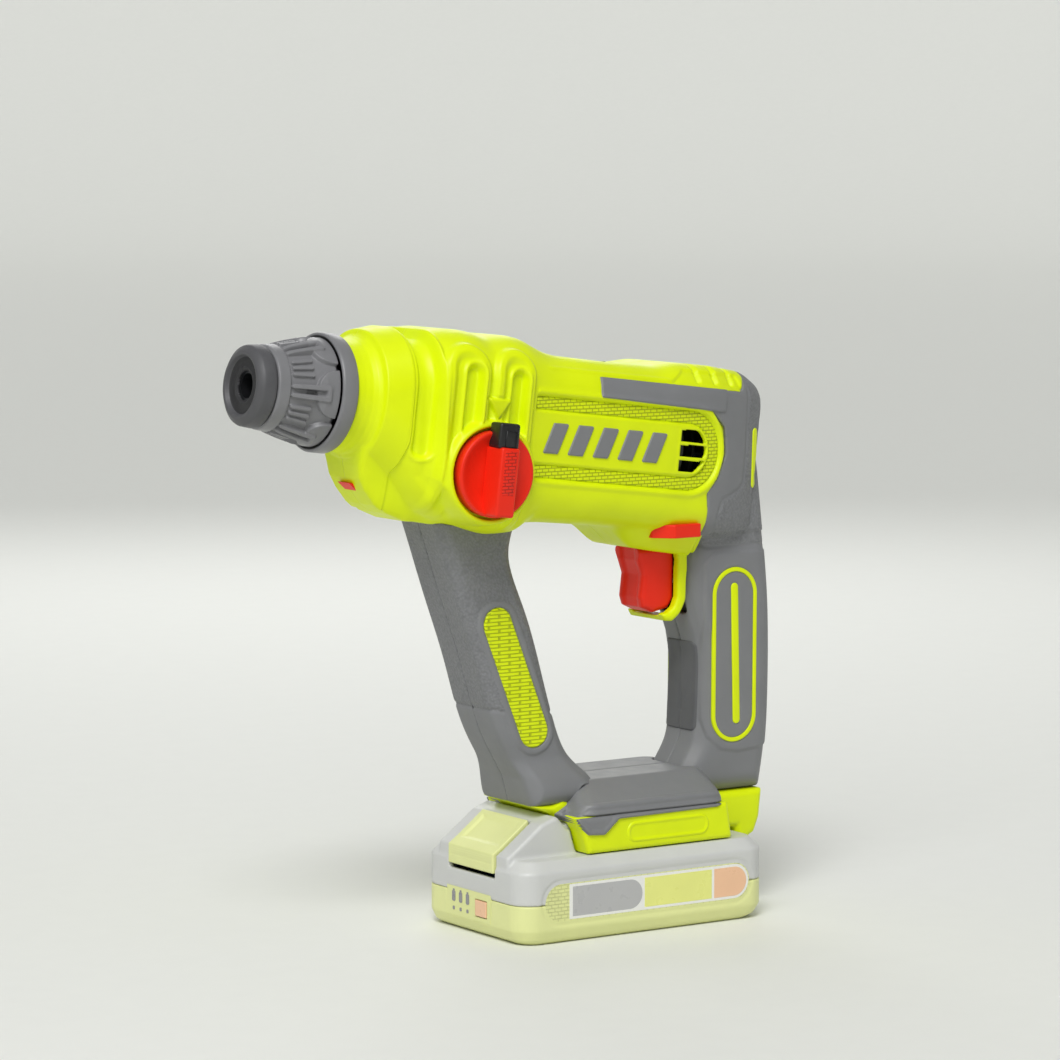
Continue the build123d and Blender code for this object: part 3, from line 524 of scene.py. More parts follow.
def section_values(u):
    """The body's section at each place along the axis, eased behind the front band."""
    fine = np.arange(-130.0, 72.01, 0.25)
    eased = []
    for column in range(1, 5):
        values = np.interp(fine, SECTION[:, 0], SECTION[:, column])
        padded = np.pad(values, 10, mode="edge")
        soft = np.convolve(padded, np.ones(21) / 21, "valid")
        weight = ramp(-107.0, -104.0, fine)
        eased.append(np.interp(u, fine, values * (1 - weight) + soft * weight))
    return eased


def on_section(u, share):
    """Across, above and outward direction of a point a share of the way down one side's outline."""
    half, top, bottom, corner = section_values(u)
    corner = np.minimum(corner, np.minimum(half, (top - bottom) / 2) - 0.05)
    flat, side, arc = half - corner, (top - bottom) - 2 * corner, corner * math.pi / 2
    d = share * (2 * flat + side + 2 * arc)
    in_top = d < flat
    in_arc = d < flat + arc
    in_side = d < flat + arc + side
    in_low = d < flat + 2 * arc + side
    a1 = (d - flat) / corner
    a2 = (d - flat - arc - side) / corner
    places = [in_top, in_arc, in_side, in_low]
    y = np.select(places, [d, flat + corner * np.sin(a1), half, flat + corner * np.cos(a2)],
                  2 * flat + side + 2 * arc - d)
    w = np.select(places, [top, top - corner + corner * np.cos(a1), top - corner - (d - flat - arc),
                           bottom + corner - corner * np.sin(a2)], bottom)
    ny = np.select(places, [0 * d, np.sin(a1), 1 + 0 * d, np.cos(a2)], 0)
    nw = np.select(places, [1 + 0 * d, np.cos(a1), 0 * d, -np.sin(a2)], -1)
    return y, w, ny, nw


def panel_outer(u, w, grow=0.0):
    return to_capsule(u, w, (-60.0, -8.8), (28.8, -8.8), 16.9 + grow)


def panel_inner(u, w, grow=0.0):
    return to_capsule(u, w, (-60.0, -8.8), (28.4, -8.8), 10.6 + grow)


def vent_mouths(u, w):
    """Distance to the vents, which follow the round end of the panel's middle."""
    edge = np.maximum(23.4 - u, panel_inner(u, w) + 1.5)
    return np.minimum.reduce([np.maximum(np.maximum(low - w, w - high), edge) for low, high in VENTS])


def front_relief(u, w, side):
    """The gearbox's band, groove, arches and slots."""
    rise = 0.9 * ramp(0.35, -0.35, to_outline(u, w, BAND))
    groove = to_capsule(u, w, (-101.9, 60), (-101.9, -17.6), 4.4)
    rise -= 2.2 * ramp(0.3, -1.6, groove)
    rise += 0.45 * ridge(groove - 0.9, 0.7)
    brow = np.interp(-w, [-25, 20, 29, 41, 60], [-97.2, -94.2, -94.6, -83.0, -70.0])
    rise += 1.0 * ridge(u - brow, 1.3) * ramp(-44, -38, w)
    rise -= 0.8 * ramp(0.0, -5.0, u - brow) * ramp(-9.0, -5.0, u - brow) * ramp(-44, -38, w)
    arches = np.zeros_like(u)
    for centre, radius, crown, inner, inner_r, inner_top in ARCHES:
        outside = to_capsule(u, w, (centre, crown), (centre, -60), radius)
        inside = to_capsule(u, w, (inner, inner_top), (inner, -60), inner_r)
        shape = 2.1 * ramp(0.6, -2.2, outside) - 1.9 * ramp(-3.4, -6.6, outside)
        shape += 0.9 * ridge(inside - 1.0, 0.8)
        shape -= 1.9 * ramp(0.3, -1.3, inside)
        arches = np.where(outside < 0.7, shape, arches)
    pointer = to_outline(u, w, POINTER)
    gone = ramp(-0.4, 1.4, pointer) if side == LEFT else 1.0
    rise = (rise + arches * ramp(-46.0, -35.0, w)) * gone
    if side == LEFT:
        rise += 2.3 * (1 - gone) * ramp(0.9, -0.2, pointer)
    return rise


def body_relief(u, y, w, side):
    """How far the body's surface stands out from its plain section, in millimetres."""
    rise = front_relief(u, w, side)
    # the long side panel: its edge, its textured track and its plain middle
    here = ramp(-51.6, -50.4, u)
    rise += here * 0.8 * ridge(panel_outer(u, w) - 1.4, 1.2)
    rise -= here * 1.2 * ramp(0.4, -0.4, panel_outer(u, w))
    rise += here * 1.3 * ramp(0.4, -0.4, panel_inner(u, w))
    rise += here * 0.25 * ridge(vent_mouths(u, w) - 0.7, 0.5)
    # facets of the rear hump, and its three slots across the top
    facet = to_outline(u, w, [(17.0, 18.4), (24.6, 24.2), (54.6, 24.2), (56.4, 18.4)])
    rise -= 0.9 * ramp(0.4, -0.4, facet) * (w < 25)
    for n in range(3):
        centre = 30.6 + 9.4 * n
        cut = to_capsule(u, w, (centre - 1.4, 60), (centre + 1.2, 20.8), 1.3)
        rise -= 1.7 * ramp(0.3, -0.7, cut)
    rise += 0.5 * ridge(w - 19.2, 0.7) * ramp(-46, -42, u) * ramp(18, 14, u)
    return rise


def body_point(u, share, side, lift=0.0):
    """Points of the body's surface, in metres."""
    y, w, ny, nw = on_section(u, share)
    rise = body_relief(u, y, w, side) + lift
    chin = np.interp(u, CHIN[:, 0], CHIN[:, 1], left=0.0, right=0.0)
    under = ramp(-0.15, -0.6, nw) * (1 - ramp(10.5, 16.5, y))
    drop = np.where((u > -121.0) & (u < -70.0), np.minimum(0, chin - w), 0) * under
    flare = ramp(-1.0, 15.0, u) * ramp(22.0, 13.0, y) * ramp(-0.1, -0.8, nw) * 7.5
    lug = ramp(-80.0, -58.0, u) * ramp(-42.0, -50.0, u) * ramp(-0.1, -0.7, nw) * 3.4
    y2, w2 = y + ny * rise, w + nw * rise + drop - flare - lug
    if side == LEFT:
        r = np.hypot(u - KNOB_U, w2 - KNOB_W)
        blend = ramp(KNOB_R + 4.6, KNOB_R + 2.6, r) * ramp(-0.2, 0.3, ny)
        rim = KNOB_FACE - 2.9 * ramp(KNOB_R + 1.1, KNOB_R + 0.4, r)
        rim -= 0.6 * ramp(KNOB_R + 2.2, KNOB_R + 2.9, r)
        y2 = y2 * (1 - blend) + rim * blend
    return to_world(np.stack([u, side * y2, w2], 1))


def along_body(a):
    """Rows packed more closely round the front, where its edges are crisp."""
    return np.interp(a, [0.0, 0.24, 0.62, 1.0], [-129.4, -104.0, -50.0, 71.0])


def down_body(b):
    """Columns packed more closely over the shoulder and side than underneath."""
    return np.interp(b, [0.0, 0.12, 0.84, 1.0], [0.0, 0.14, 0.78, 1.0])


class HAMMER_OT_body(bpy.types.Operator):
    """Build the two lime halves of the body, with their arches, grooves, side panel and vents"""
    bl_idname = "hammer.body"
    bl_label = "Body halves"

    def execute(self, context):
        for side, word in ((LEFT, "left"), (RIGHT, "right")):
            def place(a, b, side=side):
                u, share = along_body(a), down_body(b)
                behind = ramp(0.3, -1.2, to_outline(u, self.height(u, share), REAR_EDGE))
                return body_point(u, share, side, -1.5 * behind)

            def keep(a, b):
                u, share = along_body(a), down_body(b)
                w = self.height(u, share)
                return (to_outline(u, w, REAR_EDGE) > -3.0) & (vent_mouths(u, w) > 0.0)

            mesh = surface_grid("body_" + word, 460, 200, place, keep, flip=side == LEFT)
            piece = finish_piece("body_" + word, mesh, "housing", ["housing_" + word],
                                 finish("lime ABS, moulded"))
            wall = piece.modifiers.new("Wall", "SOLIDIFY")
            wall.thickness = 1.8 * MM
            wall.offset = -1
            wall.use_rim_only = True
        return {"FINISHED"}

    @staticmethod
    def height(u, share):
        return on_section(u, share)[1]


class HAMMER_OT_guard(bpy.types.Operator):
    """Build the lime surround of the trigger, below the body"""
    bl_idname = "hammer.guard"
    bl_label = "Trigger surround"

    def execute(self, context):
        c, s = math.cos(TILT), math.sin(TILT)
        cuts = [(to_world([(0, 0, -41.5)])[0], (s, 0, c)), (to_world([(-9.5, 0, 0)])[0], (-c, 0, s))]
        for word in ("left", "right"):
            mesh = remoulded("trigger_surround_" + word, ["housing_" + word], 0.45, cuts, 3)
            co = points_of(mesh)
            x, y, z = co.T / MM
            co[:, 0] += np.maximum(24.0 - x, 0) * ramp(133.0, 129.0, z) * 0.85 * MM
            set_points(mesh, co)
            finish_piece("trigger_surround_" + word, mesh, "housing", [],
                         finish("lime ABS, moulded"))
        return {"FINISHED"}


class HAMMER_OT_side_panels(bpy.types.Operator):
    """Build the textured track and the blank badge bars of both side panels"""
    bl_idname = "hammer.side_panels"
    bl_label = "Side panels"

    def execute(self, context):
        for side, word in ((LEFT, "left"), (RIGHT, "right")):
            def gap(u, w):
                return np.maximum(np.maximum(panel_outer(u, w, -0.6), -panel_inner(u, w, 0.6)), -50.6 - u)

            self.strip("side_track_" + word, (-52.0, 48.0), (0.18, 0.68), (260, 120), gap, side, 0.5,
                       ["side_panels"] if side == LEFT else [], "lime_plastic", "lime relief")
            bars = [[(u0, -14.6), (u0 + 6.4, -14.6), (u0 + 10.4, -3.2), (u0 + 4.0, -3.2)]
                    for u0 in (-45.0 + 12.4 * n for n in range(5))]

            def nearest(u, w):
                return np.minimum.reduce([to_outline(u, w, bar) for bar in bars]) - 0.5

            self.strip("badge_bars_" + word, (-47.0, 21.0), (0.24, 0.58), (280, 90), nearest, side, 0.7, [],
                       "grey_plastic", "grey TPE, moulded")
        return {"FINISHED"}

    @staticmethod
    def strip(name, along, down, count, distance, side, lift, nodes, slot, look):
        """A skin that stands proud of the body inside distance 0 and dives under it outside."""
        def where(a, b):
            u = along[0] + (along[1] - along[0]) * a
            share = down[0] + (down[1] - down[0]) * b
            return u, share, distance(u, on_section(u, share)[1])

        def place(a, b):
            u, share, d = where(a, b)
            return body_point(u, share, side, lift - (lift + 0.7) * ramp(-0.3, 0.4, d))

        def keep(a, b):
            return where(a, b)[2] < 0.9

        mesh = surface_grid(name, *count, place, keep, flip=side == LEFT)
        return finish_piece(name, mesh, "housing", nodes, finish(look))


class HAMMER_OT_top_strips(bpy.types.Operator):
    """Build the grey strips that run forward from the handle along both sides of the body"""
    bl_idname = "hammer.top_strips"
    bl_label = "Top strips"

    def execute(self, context):
        outline = [(-19.0, 9.9), (-19.0, 17.1), (60.0, 17.3), (60.0, 8.4)]
        for side, word in ((LEFT, "left"), (RIGHT, "right")):
            HAMMER_OT_side_panels.strip("top_strip_" + word, (-22.0, 46.0), (0.1, 0.45), (170, 80),
                                        lambda u, w: to_outline(u, w, outline) - 0.4, side, 0.8,
                                        ["top_strips"] if side == LEFT else [], "grey_plastic",
                                        "grey TPE, moulded")
        return {"FINISHED"}


class HAMMER_OT_grip_frame(bpy.types.Operator):
    """Build the grey handle, front strut and base bridge from their moulded halves"""
    bl_idname = "hammer.grip_frame"
    bl_label = "Handle, strut and base"

    def execute(self, context):
        for word in ("left", "right"):
            self.handle(word)
            self.strut(word)
            mesh = remoulded("grip_base_" + word, ["base_" + word], 0.6, None, 3)
            finish_piece("grip_base_" + word, mesh, "housing", ["base_" + word],
                         finish("grey TPE, moulded"))
        return {"FINISHED"}

    @staticmethod
    def handle(word):
        """The lower side is a raised field round the inlay; the upper side is pebbled inside a fine line."""
        mesh = remoulded("grip_handle_" + word, ["handle_" + word], 0.7, None, 3)
        co, out = points_of(mesh), normals_of(mesh)
        x, y, z = co.T / MM
        at_side = ramp(8.0, 12.0, np.abs(y)) * ramp(0.2, 0.6, np.abs(out[:, 1]))
        field = to_outline(x, z, FIELD)
        palm = to_outline(x, z, PALM)
        rise = -0.7 * ramp(-0.4, 0.9, field) * (z < 160)
        rise -= 0.5 * ridge(palm, 0.8)
        co += out * (rise * at_side * MM)[:, None]
        set_points(mesh, co)
        piece = finish_piece("grip_handle_" + word, mesh, "housing", ["handle_" + word],
                             [finish("grey TPE, moulded"), finish("grey TPE, pebbled")])
        pebbled_where(piece, lambda c: (to_outline(c[:, 0], c[:, 2], PALM) < -0.6))

    @staticmethod
    def strut(word):
        """The strut is pebbled above its plain lower end, and steps up round its pad."""
        mesh = remoulded("grip_strut_" + word, ["strut_" + word], 0.65, None, 3)
        co, out = points_of(mesh), normals_of(mesh)
        x, y, z = co.T / MM
        at_side = ramp(10.0, 14.0, np.abs(y)) * ramp(0.3, 0.8, np.abs(out[:, 1]))
        around = to_capsule(x, z, *PAD_ENDS, 9.6)
        rise = -0.7 * ramp(-0.5, 0.5, around) * at_side
        rise -= 0.5 * ridge(z - 88.0 + 0.1 * x, 0.8) * ramp(0, 1.0, around)
        co += out * (rise * MM)[:, None]
        co[:, 1] *= 1 + 0.42 * ramp(74.0, 59.0, z)
        co[:, 2] -= 4.2 * ramp(66.0, 58.5, z) * MM
        set_points(mesh, co)
        piece = finish_piece("grip_strut_" + word, mesh, "housing", ["strut_" + word],
                             [finish("grey TPE, moulded"), finish("grey TPE, pebbled")])
        pebbled_where(piece, lambda c: (c[:, 2] > 88.0 - 0.1 * c[:, 0])
                      & ((to_capsule(c[:, 0], c[:, 2], *PAD_ENDS, 9.6) > 0) | (np.abs(c[:, 1]) < 12)))


def pebbled_where(piece, test):
    """Gives the second finish to the faces whose centres, in millimetres, pass the test."""
    centres = np.empty(len(piece.data.polygons) * 3)
    piece.data.polygons.foreach_get("center", centres)
    chosen = test(centres.reshape(-1, 3) / MM).astype(np.int32)
    piece.data.polygons.foreach_set("material_index", chosen)


def laid_patch(name, under, direction, area, step, distance, profile, body, nodes, look):
    """A skin laid on finished pieces: profile(distance) says how far it stands out, in millimetres.

    direction is +1 or -1 for rays coming in from that side in Y, or 0 for rays from the front;
    area is the low and high of X (of Y from the front) and of Z."""
    graph = bpy.context.evaluated_depsgraph_get()
    tree = [BVHTree.FromObject(bpy.data.objects[item], graph) for item in under]
    low_a, high_a, low_z, high_z = area
    far = 200.0

    def place(a, b):
        p, z = low_a + (high_a - low_a) * a, low_z + (high_z - low_z) * b
        lift = profile(distance(p, z))
        points = []
        for pp, zz, up in zip(p, z, lift):
            if direction:
                start, way = Vector((pp, direction * far, zz)) * MM, Vector((0, -direction, 0))
            else:
                start, way = Vector((-far, pp, zz)) * MM, Vector((1, 0, 0))
            hits = [hit for hit in (t.ray_cast(start, way)[0] for t in tree) if hit is not None]
            if hits:
                first = min(hits, key=lambda hit: (hit - start).length)
                points.append(first - way * (up * MM))
            else:
                points.append(Vector((0, 0, -1)))
        return np.array(points)

    def keep(a, b):
        return distance(low_a + (high_a - low_a) * a, low_z + (high_z - low_z) * b) < 1.0

    rows = int((high_a - low_a) / step)
    columns = int((high_z - low_z) / step)
    mesh = surface_grid(name, rows, columns, place, keep, flip=direction == 1 or direction == 0)
    bm = bmesh.new()
    bm.from_mesh(mesh)
    lost = [v for v in bm.verts if v.co.z < -0.5]
    bmesh.ops.delete(bm, geom=lost, context="VERTS")
    bm.to_mesh(mesh)
    bm.free()
    return finish_piece(name, mesh, body, nodes, finish(look))


def proud(height, edge=0.35, sink=0.6):
    """A flat top with a rounded rim that dives under the surface."""
    return lambda d: height - (height + sink) * ramp(-edge, edge, d)


class HAMMER_OT_foot(bpy.types.Operator):
    """Build the lime foot that holds the battery, its grey side pads and blank badges"""
    bl_idname = "hammer.foot"
    bl_label = "Foot"

    def execute(self, context):
        for side, word in ((LEFT, "left"), (RIGHT, "right")):
            mesh = remoulded("foot_shell_" + word, ["foot_" + word], 0.6, None, 3)
            co = points_of(mesh)
            x, y, z = co.T / MM
            co[:, 2] -= ramp(-26.0, -36.0, x) * np.maximum(z - 50.4, 0) * 0.5 * MM
            set_points(mesh, co)
            finish_piece("foot_shell_" + word, mesh, "housing", ["foot_" + word],
                         finish("lime ABS, moulded"))
            under = ["grip_base_" + word, "foot_shell_" + word, "grip_strut_" + word]
            laid_patch("base_pad_" + word, under, side, (-37, 45, 40, 57), 0.5,
                       lambda x, z: to_outline(x, z, BASE_PAD) - 0.8,
                       lambda d: 1.2 - 1.9 * ramp(-0.4, 0.5, d) - 0.5 * ramp(-1.6, -2.4, d),
                       "housing", [], "grey TPE, moulded")
            laid_patch("foot_badge_" + word, under, side, (-10, 38, 36, 49), 0.4,
                       lambda x, z: to_capsule(x, z, (-3.6, 42.0), (29.0, 42.0), 4.4),
                       lambda d: 0.45 * ridge(d + 0.9, 0.6) - 0.6 * ramp(-0.3, 0.5, d) + 0.12,
                       "housing", [], "lime ABS, moulded")
        return {"FINISHED"}


class HAMMER_OT_inlays(bpy.types.Operator):
    """Build the lime pads in the strut and the lime rings, bars and slots of the handle"""
    bl_idname = "hammer.inlays"
    bl_label = "Grip inlays"

    def execute(self, context):
        for side, word in ((LEFT, "left"), (RIGHT, "right")):
            laid_patch("strut_pad_" + word, ["grip_strut_" + word], side, (-70, -32, 74, 140), 0.45,
                       lambda x, z: to_capsule(x, z, *PAD_ENDS, 6.6), proud(1.1, 0.5, 0.5),
                       "housing", ["strut_pads"] if side == LEFT else [],
                       "lime scale relief")
            laid_patch("palm_slot_" + word, ["grip_handle_" + word], side, (64, 72, 174, 208), 0.3,
                       lambda x, z: to_capsule(x, z, (67.4, 202.0), (67.8, 180.0), 1.7), proud(0.5),
                       "housing", [], "lime ABS, moulded")
            low, high = sorted((side * 14.9, side * 16.25))
            bm = extruded(bar_outline((59.4, 137.0), (60.6, 81.0), 1.8), low, high, 0.5)
            ring = self.ring((59.6, 134.0), (59.3, 83.0), 11.4, 9.6, low, high)
            bm.from_mesh(ring)
            bpy.data.meshes.remove(ring)
            bm.transform(Matrix.Scale(MM, 4))
            finish_piece("handle_inlays_" + word, mesh_from(bm, "handle_inlays_" + word, True), "housing",
                         ["handle_inlays"] if side == LEFT else [],
                         finish("lime ABS, moulded"))
        # painted shade: a slightly raised pad on the handle's front face, coloured darker grey where shade
        # falls on it
        laid_patch("handle_front_shade_pad", ["grip_handle_left", "grip_handle_right"], 0, (-12, 12, 72, 118), 0.45,
                   lambda y, z: to_outline(y, z, [(-8, 79), (8, 79), (8, 112), (-8, 112)]) - 2.4,
                   proud(0.6, 0.5, 0.6), "housing", [], "grey TPE, painted shade")
        return {"FINISHED"}

    @staticmethod
    def ring(a, b, outer, inner, low, high):
        bm = bmesh.new()
        loops = []
        for radius in (outer, inner):
            verts = [bm.verts.new((x, low, z)) for x, z in bar_outline(a, b, radius, 24)]
            loops.append([bm.edges.new(pair) for pair in zip(verts, verts[1:] + verts[:1])])
        bmesh.ops.bridge_loops(bm, edges=loops[0] + loops[1])
        grown = bmesh.ops.extrude_face_region(bm, geom=bm.faces[:])
        moved = [g for g in grown["geom"] if isinstance(g, bmesh.types.BMVert)]
        bmesh.ops.translate(bm, verts=moved, vec=(0, high - low, 0))
        bmesh.ops.recalc_face_normals(bm, faces=bm.faces[:])
        rims = [e for e in bm.edges if e.calc_face_angle(0) > 1.0]
        bmesh.ops.bevel(bm, geom=rims, offset=0.35, segments=3, affect="EDGES", profile=0.5, material=-1)
        return mesh_from(bm, "handle_ring")


class HAMMER_OT_chuck(bpy.types.Operator):
    """Build the dust cap, the ribbed locking sleeve and the rear ring of the chuck"""
    bl_idname = "hammer.chuck"
    bl_label = "Chuck"

    def execute(self, context):
        cap = [(-162.8, 9.7), (-162.8, 16.1), (-163.2, 16.45), (-163.9, 16.5), (-167.9, 16.1), (-168.7, 15.7),
               (-170.0, 13.75), (-170.3, 13.3), (-170.35, 12.7), (-170.2, 12.1), (-169.6, 11.7),
               (-168.6, 11.3), (-168.2, 10.8), (-168.2, 7.9), (-168.6, 7.4), (-168.6, 6.8), (-168.2, 6.4),
               (-168.0, 5.9), (-167.0, 5.9), (-167.0, 9.7)]
        bm = turned(cap, 128, True)
        bm.transform(TOOL)
        piece = finish_piece("dust_cap_rubber", mesh_from(bm, "dust_cap_rubber", True), "spindle",
                             ["dust_cap"], [finish("cap rubber"), finish("cap rubber, painted dish shade")])
        # painted shade: the faces of the sunken dish and bore get the darker copy of the cap rubber
        centres = np.array([p.center for p in piece.data.polygons])
        u, y, w = to_tool(centres).T
        dish = ((np.hypot(y, w) < 11.4) & (u < -167.5)).astype(np.int32)
        piece.data.polygons.foreach_set("material_index", dish)
        self.soften(piece, 0.15)
        self.sleeve()
        ring = [(-131.8, 13.0), (-131.8, 22.4), (-137.0, 22.4), (-137.2, 22.9), (-136.9, 23.5),
                (-136.2, 23.85), (-131.0, 23.9), (-130.3, 23.6), (-130.0, 23.0), (-130.0, 13.0)]
        bm = turned(ring, 128, True)
        bm.transform(TOOL)
        finish_piece("rear_ring", mesh_from(bm, "rear_ring", True), "spindle", ["chuck_collar"],
                     finish("sleeve nylon"))
        return {"FINISHED"}

    @staticmethod
    def soften(piece, width):
        bevel = piece.modifiers.new("Soft edges", "BEVEL")
        bevel.width = width * MM
        bevel.segments = 2
        bevel.limit_method = "ANGLE"
        bevel.angle_limit = math.radians(40)

    def sleeve(self):
        """A cone with six U-shaped grips, groups of three short ribs between them and scalloped lobes."""
        def place(a, b):
            u = -162.3 + 24.7 * a
            angle = 2 * math.pi * b
            base = np.interp(u, [-162.3, -161.9, -161.2, -157.5, -157.2, -156.9, -138.2, -137.6],
                             [16.1, 16.7, 16.9, 17.3, 17.1, 16.3, 20.2, 19.8])
            off = np.radians((np.degrees(angle) + 60) % 60 - 30) * 19.0
            lobe = ramp(1.05, 0.95, (np.abs(off) / 8.8) ** 2.6 + (np.abs(u + 136.0) / 10.4) ** 2.6)
            r = base + lobe * (np.interp(u, [-147, -143, -137.6], [20.2, 21.3, 21.8]) - base) * (u > -148)
            hoop = np.minimum(to_capsule(u, off, (-156.0, 1.9), (-142.4, 1.9), 0.95),
                              to_capsule(u, off, (-156.0, -1.9), (-142.4, -1.9), 0.95))
            hoop = np.minimum(hoop, to_capsule(u, off, (-142.2, 1.9), (-142.2, -1.9), 0.95))
            crest = np.interp(u, [-157.0, -154.0, -148.0, -141.0], [17.6, 19.0, 20.8, 22.6])
            r = r + (np.maximum(crest, r + 0.4) - r) * ramp(0.22, -0.22, hoop)
            r -= 1.0 * ramp(0.2, -0.3, to_capsule(u, off, (-149.5, 0), (-143.9, 0), 0.75))
            between = np.radians((np.degrees(angle) + 30) % 60 - 30) * 18.5
            for shift in (-3.1, 0.0, 3.1):
                rib = to_capsule(u, between, (-155.4, shift * 0.9), (-148.2, shift), 0.8)
                r += 1.3 * ramp(0.22, -0.22, rib)
            r = np.minimum(r, 22.3)
            return to_world(np.stack([u, r * np.sin(angle), r * np.cos(angle)], 1))

        mesh = surface_grid("sleeve_skin", 150, 620, place, closed=True)
        bm = bmesh.new()
        bm.from_mesh(mesh)
        bpy.data.meshes.remove(mesh)
        lining = turned([(-137.6, 19.8), (-137.7, 18.6), (-139.8, 17.6), (-142.5, 17.2), (-142.5, 12.4),
                         (-155.5, 12.4), (-155.5, 9.7), (-162.3, 9.7), (-162.3, 16.1)], 128)
        lining.transform(TOOL)
        inner = mesh_from(lining, "sleeve_lining")
        bm.from_mesh(inner)
        bpy.data.meshes.remove(inner)
        finish_piece("ribbed_sleeve", mesh_from(bm, "ribbed_sleeve", True), "sleeve", ["locking_sleeve"],
                     finish("sleeve nylon"))


class HAMMER_OT_knob(bpy.types.Operator):
    """Build the red mode knob with its grip bar and the black lock button"""
    bl_idname = "hammer.knob"
    bl_label = "Mode knob"

    def execute(self, context):
        at = TOOL @ Matrix.Translation((KNOB_U, 0, KNOB_W))
        face = KNOB_FACE
        disc = turned([(face - 2.6, 0.0), (face - 2.6, 17.2), (face + 2.4, 17.4), (face + 3.1, 17.2),
                       (face + 3.4, 16.7), (face + 3.3, 16.0), (face + 2.0, 14.0), (face + 0.4, 10.0),
                       (face + 0.1, 6.0), (face + 0.1, 0.0)], 96)
        disc.transform(Matrix.Rotation(-math.pi / 2, 4, "Z"))
        for vert in disc.verts:
            back = ramp(2.0, 5.0, vert.co.x)
            if vert.co.y < -face + 0.2:
                vert.co.y = vert.co.y * (1 - back) + min(vert.co.y, -face - 2.6) * back
        grip = rounded_block((10.4, 10.2, 27.6), (0.6, -face - 5.2, -2.8), 1.2, 5)
        for vert in grip.verts:
            if vert.co.y < -face - 4:
                vert.co.x = 1.0 + (vert.co.x - 0.6) * 0.84
        part = mesh_from(grip, "grip")
        disc.from_mesh(part)
        bpy.data.meshes.remove(part)
        disc.transform(at)
        finish_piece("mode_knob", mesh_from(disc, "mode_knob", True), "selector", ["selector_knob"],
                     finish("red ABS"))
        inlay = rounded_block((5.4, 0.5, 17.4), (1.0, -face - 10.25, 1.0), 0.2, 2)
        inlay.transform(at)
        finish_piece("knob_grip_relief", mesh_from(inlay, "knob_grip_relief", True), "selector", [],
                     finish("red relief"))
        lock = rounded_block((9.6, 8.2, 10.2), (0.4, -face - 5.1, 15.6), 1.2, 4)
        hoop = bmesh.new()
        bmesh.ops.create_cube(hoop, size=1.0, matrix=Matrix.Translation((0.9, -face - 9.2, 14.4))
                              @ Matrix.Diagonal((4.8, 1.0, 6.4, 1)))
        bmesh.ops.inset_region(hoop, faces=[f for f in hoop.faces if f.normal.y < -0.9], thickness=0.9,
                               depth=-0.8)
        part = mesh_from(hoop, "lock_hoop")
        lock.from_mesh(part)
        bpy.data.meshes.remove(part)
        lock.transform(at)
        finish_piece("knob_lock_button", mesh_from(lock, "knob_lock_button", True), "selector_lock",
                     ["selector_lock_button"], finish("black ABS"))
        return {"FINISHED"}


class HAMMER_OT_trigger(bpy.types.Operator):
    """Build the red trigger, direction button and work light lens"""
    bl_idname = "hammer.trigger"
    bl_label = "Trigger and buttons"

    def execute(self, context):
        mesh = remoulded("trigger_lever", ["trigger"], 0.4, None, 4)
        co = points_of(mesh)
        x, y, z = co.T / MM
        front = ramp(24.0, 18.5, x)
        co[:, 0] += front * ramp(8.0, 3.0, np.abs(y)) * ramp(128.0, 134.0, z) * 1.1 * MM
        co[:, 0] += front * ridge(np.abs(y) - 5.6, 1.0) * -0.3 * MM
        co[:, 0] += np.maximum(15.6 - x, 0) * ramp(143.0, 151.0, z) * 0.9 * MM
        set_points(mesh, co)
        finish_piece("trigger_lever", mesh, "trigger", ["trigger"], finish("red ABS"))
        mesh = remoulded("direction_slider", ["direction_button"], 0.35, None, 3)
        finish_piece("direction_slider", mesh, "direction", ["direction_button"],
                     finish("red ABS"))
        mesh = remoulded("lamp_lens", ["work_light_lens"], 0.3, None, 2)
        finish_piece("lamp_lens", mesh, "housing", ["work_light_lens"], finish("red ABS"))
        return {"FINISHED"}


